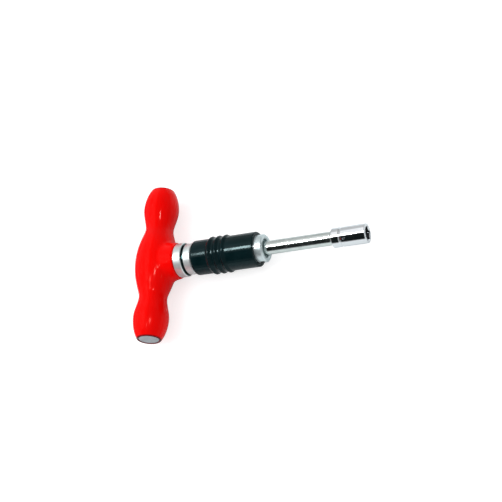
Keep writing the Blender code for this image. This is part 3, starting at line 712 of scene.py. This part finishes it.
BEARING_STEEL = make_oiled_steel("bearing_steel", (0.42, 0.42, 0.43), 0.20)
POROUS_BRONZE = make_porous_bronze()
STAMPED_BRASS = make_cage_brass()
coat_nodes(BEARING_STEEL, "clutch_cup", "spindle_washer",
           *[f"needle_roller_{index + 1}" for index in range(ROLLER_COUNT)])
coat_nodes(STAMPED_BRASS, "roller_cage")
coat_nodes(POROUS_BRONZE, "thrust_washer")
OXIDE_AND_HOLE_SHADE = make_oxide_and_hole_shade()
coat_nodes(OXIDE_AND_HOLE_SHADE, "handle_set_screw", "spindle_circlip")


# ---------------------------------------------------------------- clutch housing
# One turned steel piece, zinc plated: the spindle that the roller clutch grips, the second
# bright ring with its narrow running groove, and the tube that holds the torque clutch.

SPINDLE_BACK_X, HOUSING_FRONT_X = packed_x("clutch_housing")
NECK_RING_R = packed_r("clutch_housing")
HOUSING_BACK_X = RING_FRONT_X + SEAT_GAP
NECK_RING_X0, NECK_RING_X1, NECK_GROOVE_R = 24.6, 29.9, 9.2
HOUSING_R, HOUSING_BORE_R, HOUSING_FLOOR_X = 9.6, 7.5, 34.0
PILOT_BORE_R, PILOT_FLOOR_X = 3.3, 28.5
CLIP_GROOVE_X0, CLIP_GROOVE_X1, CLIP_GROOVE_R = -3.3, -2.0, 3.2
KEYWAY_X0, KEYWAY_REACH, KEYWAY_HALF_WIDTH = 46.5, 8.5, 2.3
FACE_SLACK, FACING_FRONT = 0.01, 0.9

housing_outline = [
    (SPINDLE_BACK_X, 0.0), (SPINDLE_BACK_X, SPINDLE_R - EDGE), (SPINDLE_BACK_X + EDGE, SPINDLE_R),
    (CLIP_GROOVE_X0, SPINDLE_R), (CLIP_GROOVE_X0, CLIP_GROOVE_R), (CLIP_GROOVE_X1, CLIP_GROOVE_R),
    (CLIP_GROOVE_X1, SPINDLE_R), (HOUSING_BACK_X, SPINDLE_R), (HOUSING_BACK_X, NECK_GROOVE_R),
    (NECK_RING_X0, NECK_GROOVE_R), (NECK_RING_X0, NECK_RING_R - EDGE),
    (NECK_RING_X0 + EDGE, NECK_RING_R), (NECK_RING_X1 - EDGE, NECK_RING_R),
    (NECK_RING_X1, NECK_RING_R - EDGE), (NECK_RING_X1, HOUSING_R), (HOUSING_FRONT_X, HOUSING_R),
    (HOUSING_FRONT_X, HOUSING_BORE_R), (HOUSING_FLOOR_X, HOUSING_BORE_R),
    (HOUSING_FLOOR_X, PILOT_BORE_R), (PILOT_FLOOR_X, PILOT_BORE_R), (PILOT_FLOOR_X, 0.0),
]
housing = lay_in_frame("clutch_neck_and_tube", turned(housing_outline, TURNED_SEGMENTS))
keyway = bmesh.new()
bmesh.ops.create_cube(keyway, size=1.0)
keyway_length = HOUSING_FRONT_X + OVERCUT - KEYWAY_X0
bmesh.ops.scale(keyway, vec=(keyway_length, 2 * KEYWAY_REACH, 2 * KEYWAY_HALF_WIDTH),
                verts=keyway.verts)
bmesh.ops.translate(keyway, vec=(KEYWAY_X0 + keyway_length / 2, 0, 0), verts=keyway.verts)
cut(housing, keyway)
dress(housing, SATIN_ZINC, "plated_steel", "clutch_body", "clutch_housing")
# Painted shade: dark teal-grey laid on the running groove between the two bright rings and on the
# first ring's front face, where shade falls between the parts.
GROOVE_SHADE_PAINT = make_oiled_steel("painted_groove_shade", (0.10, 0.17, 0.175), 0.26)
coat_faces(housing, GROOVE_SHADE_PAINT,
           lambda middle, normal: RING_FRONT_X < middle.x < NECK_RING_X0 + FACE_SLACK)
coat_faces(ratchet_ring, GROOVE_SHADE_PAINT,
           lambda middle, normal: normal.x > FACING_FRONT and middle.x > RING_FRONT_X - EDGE)


# ---------------------------------------------------------------- black grip sleeve
# A moulded black plastic sleeve pushed over the housing. It is polished, with three round
# ribs for the fingers and a lip at the front that stops against the end nut.

SLEEVE_X0, SLEEVE_X1 = packed_x("grip_sleeve")
RIB_HEIGHT = 1.05
SLEEVE_R = packed_r("grip_sleeve") - RIB_HEIGHT
SLEEVE_BORE_R, SLEEVE_LIP_R, SLEEVE_LIP_X = 9.9, 9.3, 73.1
SLEEVE_REAR_ROUND, SLEEVE_FRONT_ROUND, ROUND_POINTS = 1.4, 0.9, 10
RIB_FIRST_X, RIB_PITCH, RIB_COUNT, RIB_HALF_WIDTH, RIB_POINTS = 43.7, 4.9, 3, 2.1, 20


def make_moulded_black():
    finish, tree, shader, where = new_finish("moulded_black", (0.002, 0.011, 0.013), 0.10, 0.0)
    marks = marks_on(tree, where, 110.0, 520.0)
    edges = edges_on(tree, where, 0.0004, 700.0)
    cloud = noise(tree, where, 150.0, 2.0, 0.5)
    tint = blend_colour(tree, spread(tree, cloud, 0.35, 0.65), (0.0015, 0.0085, 0.0100),
                        (0.0030, 0.0120, 0.0140))
    tint = touch(tree, tint, marks["Scratches"], 0.30, (0.05, 0.06, 0.062))
    tint = touch(tree, tint, edges, 0.35, (0.04, 0.05, 0.052))
    dull = times(tree, marks["Smears"], 0.10)
    rough = plus(tree, plus(tree, dull, 0.085), times(tree, marks["Scratches"], 0.20))
    lay_on(tree, shader, tint, rough)
    shader.inputs["Specular IOR Level"].default_value = 0.17
    shader.inputs["Specular Tint"].default_value = (0.70, 0.97, 1.0, 1.0)
    ripple = noise(tree, where, 130.0, 1.0, 0.4)
    grain = noise(tree, where, 1500.0, 2.0, 0.6)
    raise_bump(tree, shader, plus(tree, ripple, times(tree, grain, 0.03)), 0.00006, 0.6)
    return finish


rear_centre = (SLEEVE_X0 + SLEEVE_REAR_ROUND, SLEEVE_R - SLEEVE_REAR_ROUND)
front_centre = (SLEEVE_X1 - SLEEVE_FRONT_ROUND, SLEEVE_R - SLEEVE_FRONT_ROUND)
sleeve_outline = arc(rear_centre, SLEEVE_REAR_ROUND, 180.0, 90.0, ROUND_POINTS)
for rib in range(RIB_COUNT):
    for point in range(RIB_POINTS + 1):
        across = 2 * point / RIB_POINTS - 1
        rib_x = RIB_FIRST_X + rib * RIB_PITCH + across * RIB_HALF_WIDTH
        swell = (1 + math.cos(math.pi * across)) / 2
        sleeve_outline.append((rib_x, SLEEVE_R + RIB_HEIGHT * swell))
sleeve_outline += arc(front_centre, SLEEVE_FRONT_ROUND, 90.0, 0.0, ROUND_POINTS)
sleeve_outline += [(SLEEVE_X1, SLEEVE_LIP_R), (SLEEVE_LIP_X, SLEEVE_LIP_R),
                   (SLEEVE_LIP_X, SLEEVE_BORE_R), (SLEEVE_X0, SLEEVE_BORE_R)]
sleeve = lay_in_frame("black_grip_sleeve", turned(sleeve_outline, TURNED_SEGMENTS))
dress(sleeve, make_moulded_black(), "black_plastic", "clutch_body", "grip_sleeve")


# ---------------------------------------------------------------- torque clutch inside
# Two hardened face cams under a coil spring: the sliding cam is keyed in the housing, the
# driven cam is pinned to the shaft, and a ball thrust bearing takes the spring's push.

THRUST_BALL_COUNT = 8


def make_spring_wire():
    """Oil-tempered wire: dark, with long drawing marks and a brown bloom."""
    finish, tree, shader, where = new_finish("tempered_wire", (0.16, 0.15, 0.15), 0.34, 1.0)
    bloom = noise(tree, where, 420.0, 4.0, 0.65)
    drawn = noise(tree, where, 2400.0, 2.0, 0.5, 1.5)
    tint = blend_colour(tree, spread(tree, bloom, 0.35, 0.7), (0.17, 0.165, 0.17),
                        (0.12, 0.085, 0.06))
    tint = touch(tree, tint, spread(tree, drawn, 0.55, 0.75), 0.5, (0.34, 0.33, 0.33))
    rough = spread(tree, bloom, 0.3, 0.7, 0.26, 0.44)
    lay_on(tree, shader, tint, rough)
    raise_bump(tree, shader, drawn, 0.00002, 0.5)
    return finish


TEMPERED_WIRE = make_spring_wire()
coat_nodes(make_oiled_steel("hardened_cam_steel", (0.30, 0.30, 0.31), 0.30), "slip_cam",
           "driven_cam")
coat_nodes(BEARING_STEEL, "cam_pin", "thrust_race_rear", "thrust_race_front",
           *[f"thrust_ball_{index + 1}" for index in range(THRUST_BALL_COUNT)])
coat_nodes(STAMPED_BRASS, "ball_cage")
coat_nodes(TEMPERED_WIRE, "detent_spring")

spring_low, spring_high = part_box("clutch_spring")
COIL_X0, COIL_X1 = [(corner.x - TOOL_POINT.x) / MM for corner in (spring_low, spring_high)]
COIL_R, WIRE_R, WIRE_SIDES, STEPS_PER_TURN = 6.1, 0.9, 16, 40
CLOSED_TURNS, OPEN_TURNS, CLOSED_PITCH = 0.75, 3.5, 1.85
GROUND_AWAY = 0.6
wire_travel = COIL_X1 - COIL_X0 - 2 * (1.0 - GROUND_AWAY) * WIRE_R
open_pitch = (wire_travel - 2 * CLOSED_TURNS * CLOSED_PITCH) / OPEN_TURNS
coil = bmesh.new()
bmesh.ops.create_circle(coil, segments=WIRE_SIDES, radius=WIRE_R)
bmesh.ops.rotate(coil, matrix=Matrix.Rotation(math.pi / 2, 3, "X"), verts=coil.verts)
bmesh.ops.translate(coil, vec=(COIL_X0 + (1.0 - GROUND_AWAY) * WIRE_R, 0, COIL_R), verts=coil.verts)
wire_end = coil.verts[:] + coil.edges[:]
for turns, pitch in ((CLOSED_TURNS, CLOSED_PITCH), (OPEN_TURNS, open_pitch),
                     (CLOSED_TURNS, CLOSED_PITCH)):
    wound = bmesh.ops.spin(coil, geom=wire_end, cent=(0, 0, 0), axis=(1, 0, 0),
                           dvec=(pitch / STEPS_PER_TURN, 0, 0), angle=2 * math.pi * turns,
                           steps=round(turns * STEPS_PER_TURN))
    wire_end = wound["geom_last"]
bmesh.ops.holes_fill(coil, edges=[edge for edge in coil.edges if edge.is_boundary])
for plane_x, side in ((COIL_X0, -1), (COIL_X1, 1)):
    bmesh.ops.bisect_plane(coil, geom=coil.verts[:] + coil.edges[:] + coil.faces[:],
                           plane_co=(plane_x, 0, 0), plane_no=(side, 0, 0), clear_outer=True)
    bmesh.ops.holes_fill(coil, edges=[edge for edge in coil.edges if edge.is_boundary])
bmesh.ops.remove_doubles(coil, verts=coil.verts, dist=MERGE)
bmesh.ops.recalc_face_normals(coil, faces=coil.faces)
coil_spring = lay_in_frame("clutch_coil_spring", coil)
dress(coil_spring, TEMPERED_WIRE, "spring_steel", "clutch_body", "clutch_spring")
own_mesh(coil_spring)


# ---------------------------------------------------------------- end nut and its bush
# A turned steel nut screwed into the front of the housing sets the spring. It has one round
# hole in its rim for a pin spanner, and a pressed steel bush in which the shaft runs.

NUT_BACK_X, NUT_FACE_X = packed_x("end_nut")
NUT_R = packed_r("end_nut")
NUT_FLANGE_X, NUT_PLUG_R, NUT_BORE_R = 72.5, 7.2, 6.1
NUT_FACE_CHAMFER = 0.7
SPANNER_HOLE_X, SPANNER_HOLE_R, SPANNER_HOLE_FLOOR_R, SPANNER_HOLE_DEG = 77.2, 1.5, 6.9, 190.0
HOLE_SLACK = 0.05
BUSH_X0, BUSH_X1 = packed_x("front_bush")
BUSH_OUTER_R = packed_r("front_bush")
BUSH_INNER_R, BUSH_EDGE = 4.75, 0.25

nut_outline = [
    (NUT_BACK_X, NUT_BORE_R), (NUT_BACK_X, NUT_PLUG_R - EDGE), (NUT_BACK_X + EDGE, NUT_PLUG_R),
    (NUT_FLANGE_X, NUT_PLUG_R), (NUT_FLANGE_X, NUT_R), (NUT_FACE_X - NUT_FACE_CHAMFER, NUT_R),
    (NUT_FACE_X, NUT_R - NUT_FACE_CHAMFER), (NUT_FACE_X, NUT_BORE_R + EDGE),
    (NUT_FACE_X - EDGE, NUT_BORE_R),
]
end_nut = lay_in_frame("front_end_nut", turned(nut_outline, TURNED_SEGMENTS))
cut(end_nut, radial_rod(SPANNER_HOLE_X, SPANNER_HOLE_DEG, SPANNER_HOLE_FLOOR_R, NUT_R + OVERCUT,
                        SPANNER_HOLE_R))
NUT_ZINC = make_zinc_plate("nut_zinc_plate", (0.80, 0.87, 0.88), (0.60, 0.71, 0.73), 0.30,
                           0.00004, 0.12, metallic=0.75)
dress(end_nut, NUT_ZINC, "plated_steel", "clutch_body", "end_nut")
hole_turn = math.radians(SPANNER_HOLE_DEG)
hole_aim = Vector((0.0, math.cos(hole_turn), math.sin(hole_turn)))


def in_spanner_hole(middle, normal):
    from_axis = middle - Vector((SPANNER_HOLE_X, 0.0, 0.0))
    out = from_axis.dot(hole_aim)
    return out > 0.0 and (from_axis - hole_aim * out).length < SPANNER_HOLE_R + HOLE_SLACK


# Painted shade: the spanner hole's walls are laid near black, for the shade inside the hole.
coat_faces(end_nut, OXIDE_AND_HOLE_SHADE, in_spanner_hole)
bush_outline = [
    (BUSH_X0, BUSH_INNER_R), (BUSH_X0, BUSH_OUTER_R), (BUSH_X1 - BUSH_EDGE, BUSH_OUTER_R),
    (BUSH_X1, BUSH_OUTER_R - BUSH_EDGE), (BUSH_X1, BUSH_INNER_R + BUSH_EDGE),
    (BUSH_X1 - BUSH_EDGE, BUSH_INNER_R),
]
bush = lay_in_frame("shaft_bush", turned(bush_outline, TURNED_SEGMENTS))
# The bush is steel; its dark teal-grey is painted shade for the recess round the shaft.
dress(bush, make_oiled_steel("bush_steel_painted_recess_shade", (0.26, 0.36, 0.37), 0.34), "hard_steel",
      "clutch_body", "front_bush")


# ---------------------------------------------------------------- output shaft
# A ground and polished steel shaft, zinc plated. Its back end runs in the housing, a cross
# pin ties it to the driven cam, and its front end is a quarter-inch square with a ball bore.

SHAFT_BACK_X, SQUARE_END_X = packed_x("output_shaft")
SHAFT_R = packed_r("output_shaft")
SHOULDER_X, PILOT_R = 125.2, 3.0
SQUARE_ACROSS, SQUARE_EDGE = 6.35, 0.35
PIN_X, PIN_HOLE_R = 56.9, 1.3
DETENT_X, DETENT_BORE_R, DETENT_FLOOR_R = 134.0, 1.5, -2.4
DETENT_DEG = 127.0


def prism(sides, across_flats, x0, x1, turn_deg):
    """A bar along X with flat sides, one of them facing turn_deg from +Y towards +Z."""
    bm = bmesh.new()
    corner_r = across_flats / 2 / math.cos(math.pi / sides)
    bmesh.ops.create_cone(bm, cap_ends=True, segments=sides, radius1=corner_r, radius2=corner_r,
                          depth=x1 - x0)
    half_side = Matrix.Rotation(math.pi / sides, 4, "Z")
    along_x = Matrix.Rotation(math.pi / 2, 4, "Y")
    turn = Matrix.Rotation(math.radians(turn_deg) - math.pi / 2, 4, "X")
    bmesh.ops.transform(bm, matrix=Matrix.Translation(((x0 + x1) / 2, 0, 0)) @ turn @ along_x
                        @ half_side, verts=bm.verts)
    return bm


POLISHED_ZINC = make_zinc_plate("polished_zinc_plate", (0.80, 0.83, 0.81), (0.62, 0.68, 0.66), 0.10,
                                0.00003, 0.09)
shaft_outline = [
    (SHAFT_BACK_X, 0.0), (SHAFT_BACK_X, PILOT_R - EDGE), (SHAFT_BACK_X + EDGE, PILOT_R),
    (HOUSING_FLOOR_X + 2 * SEAT_GAP, PILOT_R), (HOUSING_FLOOR_X + 2 * SEAT_GAP, SHAFT_R),
    (SHOULDER_X - EDGE, SHAFT_R), (SHOULDER_X, SHAFT_R - EDGE), (SHOULDER_X, 0.0),
]
shaft = lay_in_frame("bright_output_shaft", turned(shaft_outline, TURNED_SEGMENTS))
square = prism(4, SQUARE_ACROSS, SHOULDER_X - OVERCUT, SQUARE_END_X, DETENT_DEG)
bmesh.ops.bevel(square, geom=list(square.edges), offset=SQUARE_EDGE, offset_type="OFFSET",
                affect="EDGES", segments=3, profile=0.5, material=-1)
cut(shaft, square, "UNION")
cut(shaft, radial_rod(DETENT_X, DETENT_DEG, DETENT_FLOOR_R, SQUARE_ACROSS, DETENT_BORE_R))
cut(shaft, radial_rod(PIN_X, 0.0, -SHAFT_R - OVERCUT, SHAFT_R + OVERCUT, PIN_HOLE_R))
dress(shaft, POLISHED_ZINC, "plated_steel", "output", "output_shaft")


# ---------------------------------------------------------------- hex socket
# A chromed quarter-inch-drive socket with a deep hexagon, pushed on to the square. A shallow
# groove runs round its back, with a small cross hole beside it for the sprung ball.

SOCKET_BACK_X, SOCKET_MOUTH_X = packed_x("socket")
SOCKET_R = packed_r("socket")
SOCKET_EDGE, SOCKET_EDGE_POINTS = 0.45, 6
GROOVE_X, GROOVE_WIDTH, GROOVE_DEPTH, GROOVE_SLOPE = 131.3, 1.7, 0.45, 0.7
SQUARE_HOLE_END_X, HEX_START_X, RELIEF_R = 138.2, 139.2, 3.3
HEX_ACROSS, HEX_LEAD = 8.1, 0.55
BALL_R, BALL_HOLE_R, BALL_PROUD = 1.2, 1.0, 0.2
RELIEF_SEGMENTS, LEAD_SEGMENTS = 64, 96


def make_chrome():
    """Chrome on polished steel: nearly a mirror, with faint cloud and rubbed corners."""
    finish, tree, shader, where = new_finish("polished_chrome", (0.86, 0.87, 0.89), 0.05, 1.0)
    marks = marks_on(tree, where, 150.0, 900.0)
    edges = edges_on(tree, where, 0.0003, 900.0)
    rings = rings_on(tree, where, 1500.0, 350.0)
    tint = blend_colour(tree, times(tree, marks["Smears"], 0.35), (0.87, 0.88, 0.90),
                        (0.74, 0.76, 0.79))
    tint = touch(tree, tint, edges, 0.5, (0.96, 0.96, 0.96))
    dull = times(tree, marks["Smears"], 0.06)
    rough = plus(tree, plus(tree, dull, 0.045), times(tree, marks["Scratches"], 0.14))
    lay_on(tree, shader, tint, rough)
    raise_bump(tree, shader, rings["Bands"], 0.000012, 0.5)
    return finish


CHROME = make_chrome()
groove_back, groove_front = GROOVE_X - GROOVE_WIDTH / 2, GROOVE_X + GROOVE_WIDTH / 2
socket_outline = [(SOCKET_BACK_X, 0.0)]
socket_outline += arc((SOCKET_BACK_X + SOCKET_EDGE, SOCKET_R - SOCKET_EDGE), SOCKET_EDGE, 180.0,
                      90.0, SOCKET_EDGE_POINTS)
socket_outline += [
    (groove_back, SOCKET_R), (groove_back + GROOVE_SLOPE, SOCKET_R - GROOVE_DEPTH),
    (groove_front - GROOVE_SLOPE, SOCKET_R - GROOVE_DEPTH), (groove_front, SOCKET_R),
]
socket_outline += arc((SOCKET_MOUTH_X - SOCKET_EDGE, SOCKET_R - SOCKET_EDGE), SOCKET_EDGE, 90.0,
                      0.0, SOCKET_EDGE_POINTS)
socket_outline.append((SOCKET_MOUTH_X, 0.0))
socket = lay_in_frame("chrome_hex_socket", turned(socket_outline, TURNED_SEGMENTS))
cut(socket, prism(4, SQUARE_ACROSS + 2 * SEAT_GAP, SOCKET_BACK_X - OVERCUT, SQUARE_HOLE_END_X,
                  DETENT_DEG))
cut(socket, rod(SQUARE_HOLE_END_X - OVERCUT, HEX_START_X + OVERCUT, RELIEF_R, RELIEF_SEGMENTS))
cut(socket, prism(6, HEX_ACROSS, HEX_START_X, SOCKET_MOUTH_X + OVERCUT, DETENT_DEG))
corner_r = HEX_ACROSS / 2 / math.cos(math.pi / 6)
cut(socket, turned([(SOCKET_MOUTH_X - HEX_LEAD, 0.0),
                    (SOCKET_MOUTH_X - HEX_LEAD, corner_r - HEX_LEAD),
                    (SOCKET_MOUTH_X + HEX_LEAD, corner_r + HEX_LEAD),
                    (SOCKET_MOUTH_X + HEX_LEAD, 0.0)], LEAD_SEGMENTS))
cut(socket, radial_rod(DETENT_X, DETENT_DEG, BALL_R, SOCKET_R + OVERCUT, BALL_HOLE_R))
dress(socket, CHROME, "chrome", "socket_body", "socket")
BROACHED = make_zinc_plate("broached_socket_steel", (0.16, 0.17, 0.18), (0.10, 0.11, 0.12), 0.35,
                           0.00005, 0.15)
coat_faces(socket, BROACHED, lambda middle, normal: math.hypot(middle.y, middle.z) < corner_r
           and abs(normal.x) < 0.5)

detent = bmesh.new()
bmesh.ops.create_uvsphere(detent, u_segments=40, v_segments=24, radius=BALL_R)
bmesh.ops.translate(detent, vec=(SQUARE_ACROSS / 2 + BALL_PROUD - BALL_R, 0, 0),
                    verts=detent.verts)
point_outwards(detent, DETENT_X, DETENT_DEG)
dress(lay_in_frame("sprung_detent_ball", detent), CHROME, "chrome", "ball_body", "detent_ball")


# ---------------------------------------------------------------- floor, light and camera
# A pale floor and soft studio walls, with a dark flag that gives bright metal its black band.
# A broad lamp gives the soft light. The others only shine in gloss: two tube lamps that leave
# the handle out, a window lamp and a side lamp.

FLOOR_SIZE = 6.0
FLOOR_DROP = 0.0002
# Where the painted dark reflection on the floor ends and the pale one begins, in mm along the tool.
REFLECTION_DARK_X, REFLECTION_PALE_X = -59.95, -51.95
FLAG_MIDDLE, NARROW_FLAG_X, FULL_FLAG_X, NARROWING = 0.77, -0.40, -0.31, 1.28
BAND_X, BAND_HALF, BAND_FADE = -0.37, 0.13, 0.22
BAND_STOPS = ((0.0, 0.55), (0.185, 0.60), (0.225, 1.0), (0.54, 1.0), (0.575, 0.006),
              (0.97, 0.006), (1.0, 0.40))
CAMERA_DISTANCE = 0.8
CAMERA_AIM = TOOL_POINT + Vector((57.8, 11.4, -22.8)) * MM
CAMERA_AZIMUTH, CAMERA_ELEVATION, CAMERA_ROLL = 43.54, 54.2, -45.96
CAMERA_LENS, CAMERA_SENSOR = 86.77, 36.0


def make_floor():
    """Pale paper. It glows a little for the camera, and in gloss it is dark behind the handle."""
    bm = bmesh.new()
    bmesh.ops.create_grid(bm, x_segments=4, y_segments=4, size=FLOOR_SIZE / 2)
    bmesh.ops.translate(bm, vec=(0, 0, cad_box[0].z - FLOOR_DROP), verts=bm.verts)
    mesh = bpy.data.meshes.new("studio_floor")
    bm.to_mesh(mesh)
    bm.free()
    floor = bpy.data.objects.new("studio_floor", mesh)
    bpy.context.scene.collection.objects.link(floor)
    paper, tree, shader, where = new_finish("pale_paper", (0.92, 0.92, 0.92), 0.9, 0.0)
    fibre = noise(tree, where, 12.0, 3.0, 0.6)
    tint = blend_colour(tree, fibre, (0.56, 0.56, 0.565), (0.53, 0.53, 0.53))
    rays = tree.nodes.new("ShaderNodeLightPath")
    # Painted reflection: glossy rays see the floor as teal-grey, and near black behind the handle, a
    # dark patch that the handle's edges mirror; the camera and soft light see plain paper.
    along = step(tree, "ShaderNodeSeparateXYZ", ((0, where),)).outputs["X"]
    reflection_pale_part = spread(tree, along, REFLECTION_DARK_X * MM, REFLECTION_PALE_X * MM)
    mirrored = blend_colour(tree, reflection_pale_part, (0.07, 0.05, 0.07), (0.74, 0.79, 0.80))
    toned = blend_colour(tree, rays.outputs["Is Glossy Ray"], tint, mirrored)
    tree.links.new(toned, shader.inputs["Base Color"])
    shader.inputs["Specular IOR Level"].default_value = 0.0
    shader.inputs["Emission Color"].default_value = (1.0, 1.0, 1.0, 1.0)
    glow = spread(tree, rays.outputs["Is Camera Ray"], 0.0, 1.0, 0.0, 0.68)
    tree.links.new(glow, shader.inputs["Emission Strength"])
    mesh.materials.append(paper)


def hang_lamp(name, direction, distance, width, depth, radiance, in_gloss):
    """An area lamp that faces the tool and shines either in gloss only or in soft light only."""
    data = bpy.data.lights.new(name, "AREA")
    data.shape = "RECTANGLE"
    data.size, data.size_y = width, depth
    data.energy = radiance * math.pi * width * depth
    lamp = bpy.data.objects.new(name, data)
    towards = Vector(direction).normalized()
    lamp.location = TOOL_POINT + towards * distance
    sideways = Vector((1, 0, 0)) - towards * towards.x
    sideways.normalize()
    upwards = towards.cross(sideways)
    lamp.rotation_mode = "QUATERNION"
    lamp.rotation_quaternion = Matrix((sideways, upwards, towards)).transposed().to_quaternion()
    lamp.visible_camera = False
    lamp.visible_glossy = in_gloss
    lamp.visible_diffuse = not in_gloss
    bpy.context.scene.collection.objects.link(lamp)
    return lamp


def make_studio_walls():
    """Plain walls for the camera and for soft light; in gloss, a bright side and a dark flag."""
    world = bpy.data.worlds.new("studio")
    bpy.context.scene.world = world
    world.use_nodes = True
    tree = world.node_tree
    background = tree.nodes["Background"]
    direction = tree.nodes.new("ShaderNodeTexCoord").outputs["Generated"]
    parts = step(tree, "ShaderNodeSeparateXYZ", ((0, direction),))
    height = maths(tree, "ARCTAN2", parts.outputs["Z"], parts.outputs["Y"])
    turn = maths(tree, "DIVIDE", height, math.pi)
    narrow = spread(tree, parts.outputs["X"], NARROW_FLAG_X, FULL_FLAG_X, NARROWING, 1.0)
    from_flag = maths(tree, "SUBTRACT", turn, FLAG_MIDDLE)
    turn = plus(tree, times(tree, from_flag, narrow), FLAG_MIDDLE)
    ramp = step(tree, "ShaderNodeValToRGB", ((0, turn),))
    bands = ramp.color_ramp.elements
    while len(bands) < len(BAND_STOPS):
        bands.new(0.5)
    for band, (position, level) in zip(bands, BAND_STOPS):
        band.position = position
        band.color = (level, 0.003 + level * 1.02, 0.003 + level * 1.03, 1.0)
    sideways = maths(tree, "ABSOLUTE", plus(tree, parts.outputs["X"], -BAND_X))
    side = spread(tree, sideways, BAND_HALF, BAND_FADE)
    dimmed = blend_colour(tree, side, ramp.outputs["Color"], (0.36, 0.375, 0.38))
    gloss = tree.nodes.new("ShaderNodeLightPath").outputs["Is Glossy Ray"]
    walls = blend_colour(tree, gloss, (0.80, 0.80, 0.805), dimmed)
    tree.links.new(walls, background.inputs["Color"])
    background.inputs["Strength"].default_value = 1.0


make_floor()
make_studio_walls()
hang_lamp("broad_lamp", (-0.62, -0.02, 0.82), 1.6, 1.6, 1.6, 1.95, False)
tube = hang_lamp("tube_lamp", (-0.335, -0.01, 0.94), 1.8, 0.30, 0.40, 42.0, True)
tube_tail = hang_lamp("tube_tail_lamp", (-0.505, -0.01, 0.865), 1.8, 0.30, 0.40, 2.0, True)
hang_lamp("window_lamp", (0.43, -0.02, 0.90), 1.8, 0.12, 0.16, 110.0, True)
hang_lamp("side_lamp", (0.07, -0.17, 0.98), 1.8, 0.08, 0.12, 90.0, True)
beside_handle = bpy.data.collections.new("lit_by_tube_lamp")
for piece in list(bpy.context.scene.objects):
    if piece.type == "MESH" and piece is not red_handle:
        beside_handle.objects.link(piece)
tube.light_linking.receiver_collection = beside_handle
tube_tail.light_linking.receiver_collection = beside_handle

camera_data = bpy.data.cameras.new("studio_camera")
camera_data.lens = CAMERA_LENS
camera_data.sensor_width = CAMERA_SENSOR
camera_data.clip_start = 0.01
camera = bpy.data.objects.new("studio_camera", camera_data)
azimuth, elevation = math.radians(CAMERA_AZIMUTH), math.radians(CAMERA_ELEVATION)
back = Vector((math.sin(azimuth) * math.cos(elevation), -math.cos(azimuth) * math.cos(elevation),
               math.sin(elevation)))
roll = Matrix.Rotation(math.radians(CAMERA_ROLL), 3, "Z")
camera.rotation_mode = "QUATERNION"
camera.rotation_quaternion = ((-back).to_track_quat("-Z", "Y").to_matrix() @ roll).to_quaternion()
camera.location = CAMERA_AIM + back * CAMERA_DISTANCE
bpy.context.scene.collection.objects.link(camera)
bpy.context.scene.camera = camera
bpy.context.scene.view_settings.view_transform = "Standard"
